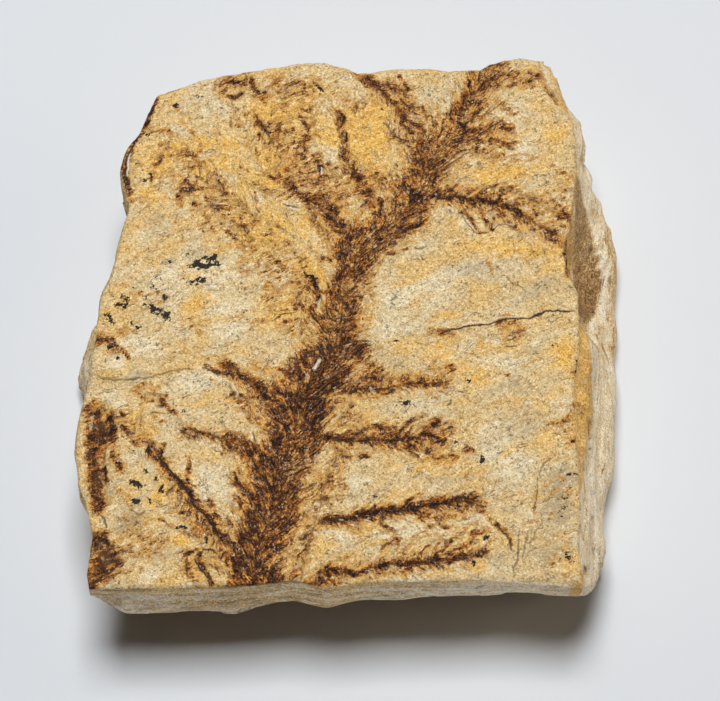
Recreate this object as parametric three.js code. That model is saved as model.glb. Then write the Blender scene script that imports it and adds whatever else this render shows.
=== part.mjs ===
// Fossil plate: a hand-sized block of bedded siltstone, split along one bed to show a pressed conifer branch.
// Millimetres, +Z up. The origin is the centre of the block's box, on the surface that the block rests on;
// +X runs to the right of the branch face and +Y runs up the branch.
// The block is one natural piece: the branch is a stain and a low relief in the stone, so there is one solid.

import * as THREE from "three";

// Driving dimensions
const thickness = 30; // footprint to the middle of the branch face
const faceSwell = 0.45; // rise and dip of the branch face about its mean
const rimRound = 0.4; // wear of the edge where the face meets the flanks
const bedRoughness = 0.3; // how far single beds stand proud or shy on the flanks
const stoneColour = "#c9a66b"; // pale ochre siltstone, dry and split

// Edge of the branch face, anticlockwise from the middle of the right side: [x, y]
const rimCorners = [
  [46, -2.7], [46, 4], [44.2, 8], [44, 14], [44.9, 19.3], [45.5, 23.7], [46.2, 29], [46.3, 34],
  [46.7, 38.3], [45.9, 43.5], [43.3, 47], [40.8, 52.4], [39.6, 58], [36, 58.8], [32.7, 58.3],
  [29.1, 57.2], [27.2, 55.8], [20.4, 55.4], [16.7, 56.2], [10, 56.2], [5.4, 55.7], [1.7, 55.1],
  [-1.6, 56.7], [-5.2, 57.7], [-11, 57.3], [-17.5, 55.7], [-24, 54.5], [-32, 53], [-36.3, 50.9],
  [-40.2, 49.3], [-42.6, 44], [-44.2, 39.8], [-46.5, 36.5], [-47.4, 32.7], [-46.8, 28], [-45.4, 23.2],
  [-46.3, 20], [-47.6, 11.8], [-48.6, 7.5], [-50.1, 3.7], [-51, -3.2], [-51.5, -8.5], [-51.8, -15],
  [-53.2, -21.5], [-54, -30.4], [-53, -38], [-51.4, -41.7], [-49.9, -48.4], [-50.6, -56.3],
  [-50.1, -59.1], [-38, -59.2], [-28.9, -58.8], [-22.3, -58.8], [-18.6, -58.2], [-10.7, -57.3],
  [-4.2, -58.8], [2.6, -57.7], [13.8, -57.5], [25.9, -57.1], [30.9, -56.9], [36.4, -57.3],
  [44.3, -57.7], [44.4, -48.9], [44.9, -39.9], [44.7, -33.2], [44.5, -26.2], [44.6, -16.9], [45.5, -9.8],
];

// Heights above the footprint at which the flanks are given, from just under the rim down to the footprint
const flankHeights = [28.6, 26, 22, 18, 14.5, 12, 8, 4, 1.5, 0];

// How far the flank stands outside the rim at each of those heights, at bearings in degrees from +X
const flankStations = [
  { bearing: 3, out: [0.5, 1.3, 2.6, 4.4, 6.4, 8.4, 10, 10.6, 10.1, 8.6] }, // right side, below the scoop
  { bearing: 11, out: [0.5, 1.1, 2.2, 4, 6.2, 9.4, 12, 12.2, 11.4, 9.6] },
  { bearing: 18, out: [0.5, 1, 2, 3.8, 6.4, 10.8, 13.8, 13.6, 12.6, 10.5] }, // deepest part of the scoop
  { bearing: 27, out: [0.5, 1.2, 2.4, 4.2, 6.6, 10, 11.8, 11.4, 10.4, 8.4] }, // top of the scoop
  { bearing: 31, out: [0.6, 1.6, 3.2, 5.4, 7.6, 9.2, 9.8, 9.2, 8, 6] },
  { bearing: 35, out: [0.9, 2.4, 4, 6, 6.8, 7, 6.2, 5.2, 4.2, 2.2] },
  { bearing: 40, out: [1, 2.6, 3.8, 4, 3.6, 3, 2.2, 1, -0.2, -2] },
  { bearing: 46, out: [1.6, 3.8, 4.2, 3.4, 2.4, 1.6, 0.8, -0.2, -1.2, -3] },
  { bearing: 53.5, out: [1.6, 4.8, 5.2, 4.4, 3.4, 2.4, 1.2, 0, -1.5, -3.5] }, // chipped far right corner
  { bearing: 58, out: [0.4, 0.8, 0.6, 0.2, -0.2, -0.4, -0.6, -1, -2, -3.5] },
  { bearing: 90, out: [0.2, 0.4, 0.6, 0.8, 0.9, 0.8, 0.6, 0.2, -0.8, -2.5] }, // far side
  { bearing: 120, out: [0.3, 0.8, 1.4, 1.6, 1.2, 0.8, 0.4, -0.4, -1.5, -3] },
  { bearing: 140, out: [0.4, 0.8, 0.6, 0.2, -0.2, -0.4, -0.8, -1.5, -2.5, -4] },
  { bearing: 165, out: [0.3, 0.5, 0.4, 0, -0.3, -0.3, -0.2, -0.6, -1.5, -3] },
  { bearing: 176, out: [0.3, 0.6, 0.8, 1.2, 2.2, 3.2, 4.2, 4.6, 4, 2.5] }, // low shoulder on the left
  { bearing: 184, out: [0.3, 0.6, 1, 1.6, 2.8, 4.2, 5.8, 6.2, 5.4, 3.5] },
  { bearing: 191, out: [0.3, 0.5, 0.6, 0.8, 1.4, 2.4, 3.8, 3.8, 2.8, 1] },
  { bearing: 197, out: [0.3, 0.5, 0.4, 0, -0.4, -0.6, -1, -1.6, -2.6, -4] },
  { bearing: 222, out: [0.3, 0.5, 0, -1, -2, -3, -4.5, -6, -7, -8.5] },
  { bearing: 229, out: [0.2, 0.3, -1.4, -3.4, -5.2, -6.5, -8.5, -10, -11, -12.5] }, // near left corner
  { bearing: 232.5, out: [0.2, 0.4, 0.6, 0.6, 0, -1.8, -4.5, -6.5, -8, -10] },
  { bearing: 249, out: [0.2, 0.4, 0.5, 0.4, 0.2, -1.2, -6, -8.5, -9.5, -11] }, // lip over the near undercut
  { bearing: 254, out: [0.2, 0.4, 0.6, 0.3, -1.2, -3, -6.5, -8.5, -9.5, -11.5] },
  { bearing: 275, out: [0.2, 0.4, 0.6, 0, -2, -4, -6.5, -8.5, -9.5, -11.5] },
  { bearing: 295, out: [0.3, 0.6, 0.5, -0.9, -3, -4.8, -7, -9, -10, -11.5] },
  { bearing: 307.5, out: [0.7, 1.4, 0.4, -1.8, -4, -5.5, -7.5, -9.5, -10.5, -12] }, // near right corner
  { bearing: 310, out: [0.8, 1.8, 3.6, 3.8, 1.8, 0, -2.5, -4.5, -6, -8] },
  { bearing: 312, out: [0.8, 2.2, 4.6, 6.2, 6.2, 5.2, 3, 1, -0.5, -2.5] },
  { bearing: 314.5, out: [0.8, 2.2, 4.4, 6.2, 7.2, 7.6, 6.4, 4, 2.5, 0.5] },
  { bearing: 317, out: [0.8, 2.2, 4.2, 6.2, 7.8, 8.8, 9, 8, 6.5, 4.5] },
  { bearing: 325, out: [0.6, 1.8, 3.4, 5, 6.8, 8.2, 9, 8.6, 7.4, 5.5] },
  { bearing: 337, out: [0.5, 1.7, 3.4, 5.4, 7.4, 9.2, 10.6, 10.4, 9.4, 7.6] },
  { bearing: 352, out: [0.5, 1.6, 3.2, 5.2, 7.2, 8.6, 9.6, 9.8, 9.2, 7.8] },
];

// Rings on the branch face and on the underside, as shares of the distance from the middle to the edge
const faceRings = [0.985, 0.93, 0.82, 0.69, 0.53, 0.36, 0.18];
const undersideRings = [0.92, 0.6];

const degrees = (radians) => (THREE.MathUtils.radToDeg(radians) + 360) % 360;

// Height of the branch face: the split bed swells and dips gently about its mean.
function faceHeight(x, y) {
  return thickness + faceSwell * (Math.sin(x / 19 + 0.6) * Math.cos(y / 23 - 0.4) + 0.5 * Math.sin((x + y) / 13));
}

// How far the flank stands outside the rim at a bearing and a height index, with the unevenness of the beds.
function flankOffset(bearing, level) {
  const count = flankStations.length;
  let next = flankStations.findIndex((s) => s.bearing > bearing);
  if (next < 0) next = 0;
  const after = flankStations[next];
  const before = flankStations[(next + count - 1) % count];
  const span = (after.bearing - before.bearing + 360) % 360;
  const share = ((bearing - before.bearing + 360) % 360) / span;
  const smooth = share * share * (3 - 2 * share);
  const offset = THREE.MathUtils.lerp(before.out[level], after.out[level], smooth);
  const turn = THREE.MathUtils.degToRad(bearing);
  const ripple = Math.sin(11 * turn + 2.3 * level) + Math.sin(23 * turn + 5.1 * level);
  const depth = level === flankHeights.length - 1 ? 0 : bedRoughness;
  return offset + 0.5 * depth * ripple;
}

// The rim's corners with a point between each pair, so that its straight runs can bend a little.
function rimPoints() {
  const points = [];
  rimCorners.forEach(([x, y], i) => {
    const [nextX, nextY] = rimCorners[(i + 1) % rimCorners.length];
    points.push(new THREE.Vector2(x, y));
    points.push(new THREE.Vector2((x + nextX) / 2, (y + nextY) / 2));
  });
  return points;
}

// One closed skin of rings: middle of the face, out to the rim, down the flanks, in to the middle of the underside.
function blockGeometry() {
  const rim = rimPoints();
  const rings = [];
  for (const share of [...faceRings].reverse())
    rings.push(rim.map((p) => [p.x * share, p.y * share, faceHeight(p.x * share, p.y * share)]));
  rings.push(rim.map((p) => [p.x, p.y, faceHeight(p.x, p.y) - rimRound]));
  flankHeights.forEach((height, level) => {
    rings.push(
      rim.map((p) => {
        const stretch = 1 + flankOffset(degrees(p.angle()), level) / p.length();
        return [p.x * stretch, p.y * stretch, height];
      }),
    );
  });
  const footprint = rings[rings.length - 1];
  for (const share of undersideRings) rings.push(footprint.map(([x, y]) => [x * share, y * share, 0]));

  const count = rim.length;
  const positions = [[0, 0, faceHeight(0, 0)], ...rings.flat(), [0, 0, 0]];
  const last = positions.length - 1;
  const at = (ring, i) => 1 + ring * count + (i % count);
  const faces = [];
  for (let i = 0; i < count; i++) {
    faces.push([0, at(0, i), at(0, i + 1)]);
    for (let ring = 0; ring + 1 < rings.length; ring++) {
      faces.push([at(ring, i), at(ring + 1, i), at(ring + 1, i + 1)]);
      faces.push([at(ring, i), at(ring + 1, i + 1), at(ring, i + 1)]);
    }
    faces.push([at(rings.length - 1, i), last, at(rings.length - 1, i + 1)]);
  }
  const geometry = new THREE.BufferGeometry();
  geometry.setAttribute("position", new THREE.Float32BufferAttribute(positions.flat(), 3));
  geometry.setIndex(faces.flat());
  geometry.computeVertexNormals();
  return geometry;
}

const stone = new THREE.MeshStandardMaterial({ color: stoneColour, roughness: 0.9, metalness: 0, flatShading: true });
const block = new THREE.Mesh(blockGeometry(), stone);
block.name = "conifer_fossil_plate";

const plate = new THREE.Group();
plate.add(block);

export default plate;
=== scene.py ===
import math

import bpy
import numpy as np
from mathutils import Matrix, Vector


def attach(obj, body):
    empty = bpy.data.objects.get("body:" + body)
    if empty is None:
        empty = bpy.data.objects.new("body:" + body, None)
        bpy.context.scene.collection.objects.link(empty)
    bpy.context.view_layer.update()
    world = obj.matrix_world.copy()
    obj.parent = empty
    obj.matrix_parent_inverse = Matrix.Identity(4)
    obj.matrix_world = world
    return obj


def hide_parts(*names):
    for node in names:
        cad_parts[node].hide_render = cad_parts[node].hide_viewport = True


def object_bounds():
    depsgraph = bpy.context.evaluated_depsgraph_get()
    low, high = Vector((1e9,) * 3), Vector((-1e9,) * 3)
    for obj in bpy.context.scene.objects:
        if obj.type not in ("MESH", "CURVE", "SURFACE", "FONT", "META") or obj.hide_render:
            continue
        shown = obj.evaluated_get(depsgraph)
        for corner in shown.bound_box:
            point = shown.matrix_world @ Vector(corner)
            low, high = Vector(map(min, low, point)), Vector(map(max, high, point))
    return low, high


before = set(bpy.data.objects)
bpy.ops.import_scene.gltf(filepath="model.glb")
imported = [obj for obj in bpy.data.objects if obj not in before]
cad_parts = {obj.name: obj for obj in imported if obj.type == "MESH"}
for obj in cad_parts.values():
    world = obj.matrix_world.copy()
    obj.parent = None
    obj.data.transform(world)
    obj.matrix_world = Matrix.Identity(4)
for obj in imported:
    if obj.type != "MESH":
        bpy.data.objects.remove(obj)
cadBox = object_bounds()
mm = 0.001  # every measure below is in millimetres, and meshes are in metres
print("frame loaded")

lattice = np.random.default_rng(11).random((256, 256))


def speckle(x, y, size, seed):
    # Value noise from -1 to 1: random heights on a square lattice, joined by eased blends.
    u = x / size + 17.3 * seed
    v = y / size + 9.1 * seed
    i = np.floor(u).astype(int)
    j = np.floor(v).astype(int)
    u = u - i
    v = v - j
    u = u * u * (3 - 2 * u)
    v = v * v * (3 - 2 * v)
    near = lattice[i % 256, j % 256] * (1 - u) + lattice[(i + 1) % 256, j % 256] * u
    far = lattice[i % 256, (j + 1) % 256] * (1 - u) + lattice[(i + 1) % 256, (j + 1) % 256] * u
    return 2 * (near * (1 - v) + far * v) - 1


def rough(x, y, size, layers, seed):
    # A sum of value noises, each half as wide and half as high as the one before.
    total = 0
    for layer in range(layers):
        total = total + speckle(x, y, size / 2 ** layer, seed + layer) / 2 ** layer
    return total


def ease(low, high, value):
    # Smooth step: 0 below low, 1 above high, and the eased share between.
    share = np.clip((value - low) / (high - low), 0, 1)
    return share * share * (3 - 2 * share)


def bend(points, parts=4):
    # Catmull-Rom curve: each stretch is the cubic whose end slopes are half the neighbours' difference.
    p = np.array(points, float)
    p = np.vstack([2 * p[0] - p[1], p, 2 * p[-1] - p[-2]])
    t = (np.arange(parts) / parts)[None, :, None]
    a, b, c, d = p[:-3, None], p[1:-2, None], p[2:-1, None], p[3:, None]
    curve = b + 0.5 * t * (c - a + t * (2 * a - 5 * b + 4 * c - d + t * (3 * b - a - 3 * c + d)))
    return np.vstack([curve.reshape(-1, p.shape[1]), p[-2]])


def runLength(path):
    # Length along a path up to each of its points: the running sum of the steps between them.
    return np.concatenate([[0], np.cumsum(np.hypot(*np.diff(path, axis=0).T))])


def nearPath(path, x, y):
    # For each place: its distance to the nearest stretch of the path, positive on the path's left,
    # and the length along the path and the share of the whole length at the nearest point.
    start = path[:-1]
    step = path[1:] - start
    size = np.hypot(step[:, 0], step[:, 1]) + 1e-9
    behind = np.concatenate([[0], np.cumsum(size)[:-1]])
    dx = x[:, None] - start[:, 0]
    dy = y[:, None] - start[:, 1]
    share = np.clip((dx * step[:, 0] + dy * step[:, 1]) / size ** 2, 0, 1)
    gap = np.hypot(dx - share * step[:, 0], dy - share * step[:, 1])
    best = gap.argmin(axis=1)
    row = np.arange(len(x))
    side = np.sign(step[best, 0] * dy[row, best] - step[best, 1] * dx[row, best])
    along = behind[best] + share[row, best] * size[best]
    return gap[row, best] * side, along, along / size.sum()


block = {
    "node": "conifer_fossil_plate",
    "across": 224,  # cells across the branch face, 0.4 mm each
    "up": 260,  # cells up the branch face
    "levels": 34,  # rows of cells down the flanks
    "topLevel": 28.75,  # height of the first row under the rim
    "corners": [(-50.1, -59.1), (44.3, -57.7), (39.6, 58.0), (-41.4, 46.6)],  # near left, then anticlockwise
    "swell": 0.45,  # rise and dip of the branch face
    "wornRim": 0.5,
    "chips": 0.35,  # how far the rim is nibbled
    "thickness": 30.0,
    "faceAcross": 92,
    "faceUp": 114,
}

across = block["across"]
up = block["up"]
around = 2 * (across + up)

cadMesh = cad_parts[block["node"]].data
corners = np.empty(3 * len(cadMesh.vertices))
cadMesh.vertices.foreach_get("co", corners)
corners = corners.reshape(-1, 3) / mm
cadMesh.calc_loop_triangles()
triangles = np.empty(3 * len(cadMesh.loop_triangles), int)
cadMesh.loop_triangles.foreach_get("vertices", triangles)
triangles = triangles.reshape(-1, 3)


def rimReach(bearings):
    # The rim is the outermost CAD point above every flank ring, at each bearing.
    top = corners[corners[:, 2] > 28.7]
    turn = np.round(np.arctan2(top[:, 1], top[:, 0]), 3)
    reach = np.hypot(top[:, 0], top[:, 1])
    turns, which = np.unique(turn, return_inverse=True)
    outer = np.zeros(len(turns))
    np.maximum.at(outer, which.ravel(), reach)
    keep = outer > 35
    turns = turns[keep]
    outer = outer[keep]
    x = outer * np.cos(turns)
    y = outer * np.sin(turns)
    t = np.linspace(0, 1, 24, endpoint=False)[None]
    x = (x[:, None] * (1 - t) + np.roll(x, -1)[:, None] * t).ravel()
    y = (y[:, None] * (1 - t) + np.roll(y, -1)[:, None] * t).ravel()
    return np.interp(bearings, np.arctan2(y, x), np.hypot(x, y), period=2 * np.pi)


def sliceReach(bearings, height):
    # Distance from the middle to the CAD skin at one height: every triangle side that crosses the
    # height gives one point, by its share of the side's rise.
    a = corners[triangles].reshape(-1, 3)
    b = corners[np.roll(triangles, -1, axis=1)].reshape(-1, 3)
    crossing = (a[:, 2] > height) != (b[:, 2] > height)
    a = a[crossing]
    b = b[crossing]
    share = ((height - a[:, 2]) / (b[:, 2] - a[:, 2]))[:, None]
    cut = a[:, :2] + (b[:, :2] - a[:, :2]) * share
    turns = np.arctan2(cut[:, 1], cut[:, 0])
    return np.interp(bearings, turns, np.hypot(cut[:, 0], cut[:, 1]), period=2 * np.pi)


def rimLoop():
    # The rim between two corners, split into equal lengths, for each of the four sides in turn.
    counts = [across, up, across, up]
    turns = [math.atan2(y, x) for x, y in block["corners"]]
    loop = []
    for side, count in enumerate(counts):
        first = turns[side]
        last = turns[(side + 1) % 4]
        if last < first:
            last += 2 * math.pi
        bearings = np.linspace(first, last, 3000)
        reach = rimReach(bearings)
        x = reach * np.cos(bearings)
        y = reach * np.sin(bearings)
        length = np.concatenate([[0], np.cumsum(np.hypot(np.diff(x), np.diff(y)))])
        marks = np.linspace(0, length[-1], count + 1)[:-1]
        loop.append(np.stack([np.interp(marks, length, x), np.interp(marks, length, y)], axis=1))
    return np.vstack(loop)


def patch(loop, columns, rows):
    # Coons patch: the blend of the near and far edges, plus that of the left and right edges,
    # less the blend of the four corners.
    near = loop[:columns + 1]
    right = loop[columns:columns + rows + 1]
    far = loop[columns + rows:2 * columns + rows + 1][::-1]
    left = np.vstack([loop[2 * columns + rows:], loop[:1]])[::-1]
    s = np.linspace(0, 1, columns + 1)[None, :, None]
    t = np.linspace(0, 1, rows + 1)[:, None, None]
    blend = near[None] * (1 - t) + far[None] * t + left[:, None] * (1 - s) + right[:, None] * s
    return blend - (near[0] * (1 - s) + near[-1] * s) * (1 - t) - (far[0] * (1 - s) + far[-1] * s) * t


rim = rimLoop()
rimTurn = np.arctan2(rim[:, 1], rim[:, 0])
rimLength = runLength(rim)
bite = np.clip(rough(rimLength, 0 * rimLength, 5.0, 4, 31), 0, 1) * block["chips"]
rim = rim * (1 - bite / np.hypot(rim[:, 0], rim[:, 1]))[:, None]
facePlan = patch(rim, across, up)
faceX = facePlan[..., 0].ravel()
faceY = facePlan[..., 1].ravel()
print("face laid out:", len(faceX), "points")

# Places are read a little off true, so that every edge of a stain wanders as ink in stone does.
wanderX = faceX + 0.45 * rough(faceX, faceY, 3.2, 3, 41)
wanderY = faceY + 0.45 * rough(faceX, faceY, 3.2, 3, 51)

# What the marks build up at each point of the face; relief is in mm, the rest are shares
iron, ink, relief, shadeAndDirt, ochre, cream, grey, rust, flake = (np.zeros(len(faceX)) for _ in range(9))
farOff = 9.0  # mm, the distance given to a point that no hairline is near
plainGrain = math.radians(24)  # the way the grain runs where no twig turns it
grainAcross = wanderY * math.cos(plainGrain) - wanderX * math.sin(plainGrain)
grainAlong = wanderX * math.cos(plainGrain) + wanderY * math.sin(plainGrain)
grainPower = np.full(len(faceX), 0.25)
rivalPower = np.zeros(len(faceX))
lineGap = [np.full(len(faceX), farOff), np.full(len(faceX), farOff)]
linePower = [np.zeros(len(faceX)), np.zeros(len(faceX))]


def inPathBox(path, reach, margin=0.0):
    # Which face points lie in the path's box, widened by the reach.
    low = path[:, :2].min(axis=0) - reach - margin
    high = path[:, :2].max(axis=0) + reach + margin
    return (wanderX > low[0]) & (wanderX < high[0]) & (wanderY > low[1]) & (wanderY < high[1])


def stain(field, level, width, points, edge=1.0, point=0.0):
    # Raises a field to a level inside a mark's width, falling in a straight line to nothing over its edge:
    # level * taper * (width * taper + edge - distance) / edge, kept between 0 and the level.
    path = bend(points)
    where = inPathBox(path, width + edge)
    gap, along, share = nearPath(path[:, :2], wanderX[where], wanderY[where])
    taper = 1 - point * share ** 2
    value = level * taper * np.clip((width * taper + edge - np.abs(gap)) / edge, 0, 1)
    value = value * (0.9 + 0.25 * speckle(faceX[where], faceY[where], 1.4, 7))
    field[where] = np.maximum(field[where], value)


def claimGrain(where, power, acrossValue, alongValue):
    # The strongest imprint at a point gives its grain direction; the runner-up is kept to fade the border.
    stronger = power > grainPower[where]
    rivalPower[where] = np.maximum(rivalPower[where], np.where(stronger, grainPower[where], power))
    chosen = np.flatnonzero(where)[stronger]
    grainAcross[chosen] = acrossValue[stronger]
    grainAlong[chosen] = alongValue[stronger]
    grainPower[chosen] = power[stronger]


def imprint(points, reach, lean, power):
    # Needle grain beside a twig: lines that leave it at the lean, mirrored on its two sides. Across them is
    # along * sin(lean) - out * cos(lean), and along them is along * cos(lean) + out * sin(lean).
    path = bend(points)
    where = inPathBox(path, reach)
    gap, along, share = nearPath(path[:, :2], wanderX[where], wanderY[where])
    c = math.cos(math.radians(lean))
    s = math.sin(math.radians(lean))
    out = np.abs(gap)
    strength = power * np.clip(1.3 * (1 - out / reach), 0, 1)
    strength = strength * ease(-0.02, 0.1, share) * ease(-0.02, 0.1, 1 - share)
    claimGrain(where, strength, along * s - out * c + 40 * (gap > 0) + points[0][1], along * c + out * s)


def bulge(amount, width, points, lean=0.0):
    # Adds a soft ridge (or a groove where the amount is negative): a bell curve across the path.
    path = bend(points)
    where = inPathBox(path, 3 * width)
    gap, along, share = nearPath(path[:, :2], wanderX[where], wanderY[where])
    relief[where] += amount * np.exp(-(gap / width) ** 2) * ease(0, 0.12, share) * ease(0, 0.12, 1 - share)


def ledge(drop, run, fade, points):
    # A step along the path: ground on its right lies lower by the drop next to it, and climbs back
    # over the fade, by exp(-distance / fade).
    path = bend(points)
    where = inPathBox(path, 3 * fade)
    gap, along, share = nearPath(path[:, :2], wanderX[where], wanderY[where])
    ends = ease(0, 0.15, share) * ease(0, 0.15, 1 - share)
    relief[where] -= drop * ends * ease(-run, run, -gap) * np.exp(-np.clip(-gap, 0, None) / fade)


def wash(field, level, x, y, wide, tall, turn=0.0):
    # Adds a soft oval of tint: full at the middle, none at its edge, turned by degrees.
    c = math.cos(math.radians(turn))
    s = math.sin(math.radians(turn))
    u = ((wanderX - x) * c + (wanderY - y) * s) / wide
    v = ((wanderY - y) * c - (wanderX - x) * s) / tall
    field += level * ease(0, 1, 1 - np.sqrt(u * u + v * v))


def thinLine(channel, power, points):
    # A hairline for the material to draw: the signed gap to it, kept only within its window.
    path = bend(points)
    where = inPathBox(path, 1.2)
    gap, along, share = nearPath(path[:, :2], wanderX[where], wanderY[where])
    strength = power * np.clip((1.1 - np.abs(gap)) / 0.5, 0, 1)
    strength = strength * ease(0, 0.1, share) * ease(0, 0.1, 1 - share)
    better = np.zeros(len(faceX), bool)
    better[where] = np.abs(strength) > np.abs(linePower[channel][where])
    lineGap[channel][better] = gap[better[where]]
    linePower[channel][better] = strength[better[where]]


# Left and right edge of the stem's stain at heights up the face, as [y, left, right, darkness]
stem = [
    [-60, -22.5, -14, 0.68], [-53.5, -22.8, -13.5, 0.71], [-49, -22, -12, 0.7], [-45, -20.5, -10.5, 0.68],
    [-41, -21, -9.8, 0.66], [-36.5, -21, -9, 0.67], [-32.5, -18.5, -7, 0.68], [-28.5, -17, -6, 0.68],
    [-24, -15.5, -5.5, 0.67], [-19.5, -16, -3.5, 0.66], [-15.5, -14, -0.5, 0.64], [-12, -11.8, 1.2, 0.64],
    [-9.5, -10, 3.2, 0.62], [-8.2, -9, 3.4, 0.6], [-7.2, -6.2, 1.2, 0.6],
    [-5, -5.8, 1.2, 0.6], [0, -5.6, 1.9, 0.53], [4.5, -5.2, 3.6, 0.51],
    [9, -2.6, 3.8, 0.6], [12, -3.5, 5.5, 0.62], [14.5, -4, 9.5, 0.56], [17, -1, 12.5, 0.52],
    [20, 3.5, 14.8, 0.52], [24, 8, 17.5, 0.56], [28.5, 9.8, 18.8, 0.58], [33, 12, 20.3, 0.58],
    [36.5, 13, 22.8, 0.57], [40.5, 17, 25.3, 0.56], [44, 19.8, 26.8, 0.55], [48.5, 21.8, 28.6, 0.56],
    [52, 24.3, 30, 0.57], [57, 26, 31.5, 0.55],
]

# Twigs: darkness, width, reach of the needle print, its lean and strength, needle spacing, length and
# darkness, and the midline's points
twigs = [
    (1.06, 1.1, 5.5, 42, 1, 1.5, 5.5, 0.5, [(-4.5, -45.5), (1, -44.5), (7.5, -43), (14, -42), (22, -40.5),
     (26, -41.5)]),
    (0.9, 0.7, 5, 42, 1, 1.5, 5, 0.55, [(-6, -55.5), (-1, -55), (0.5, -56), (4.5, -54.5), (11.5, -54),
     (17.5, -53), (23.5, -52.5), (26.5, -51)]),
    (0.92, 0.7, 4, 42, 0.9, 1.5, 3.5, 0.5, [(-5, -28), (1, -28.5), (5.5, -28.5), (10, -28.5), (14, -27.5),
     (17, -28)]), (0.8, 0.5, 4, 42, 0.9, 1.5, 3, 0.5, [(-1, -18), (6, -17.5), (11.5, -16.5), (20, -16)]),
    (0.62, 0.9, 5, 32, 0.9, 1.1, 3.5, 0.6, [(3, 55), (6, 51), (8.5, 48), (11.5, 44), (13.5, 40.5),
     (15.5, 36.5), (16, 32)]),
    (0.75, 0.6, 5, 42, 1, 1.4, 4.5, 0.5, [(17.5, 26), (22.5, 25.5), (26.5, 24.5), (30.5, 23.5), (34.5, 22),
     (39, 19), (42, 17)]),
    (0.7, 0.22, 4.5, 38, 0.9, 1.3, 3, 0.35, [(-39.5, -28.5), (-37.5, -32), (-34.5, -36), (-31.5, -39),
     (-29.2, -43), (-26.3, -46.8), (-24.1, -50.4), (-22.5, -54)]),
    (0.8, 0.5, 4, 40, 0.9, 1.2, 3, 0.45, [(-24.5, -12.5), (-22.5, -13.5), (-20, -16), (-17, -17.5),
     (-14, -19)]),
    (0.7, 0.3, 3.5, 40, 0.9, 1.2, 2.5, 0.4, [(-33, -26.5), (-31.5, -26), (-28.5, -27), (-25, -28.5),
     (-22, -28.5)]), (0.7, 0.8, 4, 35, 0.8, 9, 3, 0.3, [(0.5, 15.5), (-1.5, 18), (-4, 21.5), (-6, 26)]),
]
strands = [
    (0.45, 0.2, [(9.8, -27.5), (10.3, -25.5), (12.6, -23.9), (14.7, -22.7)]),
    (0.4, 0.2, [(12.5, -44), (14.2, -45.2), (16.4, -47), (17.4, -48.2)]),
    (0.5, 0.3, [(6.3, -46), (8.5, -47.9), (9.4, -51.1)]),
    (0.4, 0.2, [(10.6, -51.6), (12.4, -49.1), (15, -46.6), (17.8, -45.2)]),
    (0.45, 0.25, [(22.5, -50.2), (24.7, -47.8), (27.3, -46.3)]),
    (0.4, 0.2, [(15.1, -53), (16.9, -50.5), (19.5, -48.6), (22.1, -47.1)]),
    (0.4, 0.25, [(14.1, -43), (16, -43.8), (18.9, -44.2)]),
    (0.35, 0.2, [(-0.5, -45.4), (2, -47), (3.8, -48.9)]),
    (0.6, 0.2, [(26, -41.5), (27, -44), (28.5, -45.5), (30, -47.5), (31, -50)]),
    (0.6, 0.3, [(12.5, -43), (17, -44), (21, -43), (26.5, -43)]),
    (0.7, 0.3, [(10, -42.5), (11.5, -41), (14, -39.5)]), (0.6, 0.25, [(5.5, -53.5), (7, -50), (8.5, -49)]),
    (0.6, 0.25, [(16.5, -53), (18, -51.5), (19.5, -48.5)]),
    (0.7, 0.2, [(10, -29), (12, -30.5), (14.5, -32.5)]),
    (0.55, 0.25, [(14.5, -29), (17, -31.5), (21.5, -31.5)]),
    (0.5, 0.2, [(10, -26), (11.5, -24.5), (15, -23)]), (0.7, 0.25, [(25.5, 25.5), (28, 27), (30, 28.5)]),
    (0.7, 0.25, [(29.5, 24.5), (33.5, 27.5)]), (0.7, 0.25, [(23.5, 22.5), (25.5, 18), (27.5, 17)]),
    (0.7, 0.25, [(26.5, 23), (28, 19), (29, 17.5)]), (0.6, 0.25, [(30.5, 22), (31.5, 19.5)]),
    (0.4, 0.2, [(28, 11), (29, 7.5)]), (0.4, 0.25, [(41, 33), (46, 29.5)]),
    (0.4, 0.2, [(39, -25), (43, -24)]), (0.65, 0.2, [(-31.5, -32.5), (-31.5, -37), (-30.5, -38.5)]),
    (0.6, 0.2, [(-35.5, -39.5), (-34, -39), (-32, -41)]),
    (0.45, 0.2, [(-37, -45), (-33.5, -47), (-30, -48.5), (-27.5, -48)]),
    (0.36, 0.4, [(-45, -38.5), (-43, -40.5), (-42, -43.5)]),
    (0.85, 0.2, [(-29, -12), (-28, -13), (-25.5, -14.5)]), (0.3, 0.3, [(-42.5, -16.5), (-38, -17)]),
    (0.3, 0.3, [(-42.5, -18), (-36, -19)]),
    (0.3, 0.3, [(-36, 46.5), (-34, 42), (-31.5, 38.5), (-31, 35.5)]),
    (0.9, 0.45, [(-40.5, 48), (-41.5, 45), (-43.5, 41), (-45, 37.5), (-46, 34), (-46.5, 31),
     (-45.5, 26.5)]), (0.62, 0.9, [(-42.5, 47), (-44.8, 41), (-46.5, 36), (-47.6, 31)]),
    (0.9, 0.25, [(-7.5, 6.5), (-6.5, 3.5), (-7, -0.5), (-5.5, -4)]),
    (0.75, 0.3, [(44.5, 17), (44, 13), (44.5, 10), (44, 8)]),
    (0.6, 0.35, [(39, 53.5), (41, 51), (43.5, 47.5)]),
]

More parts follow.
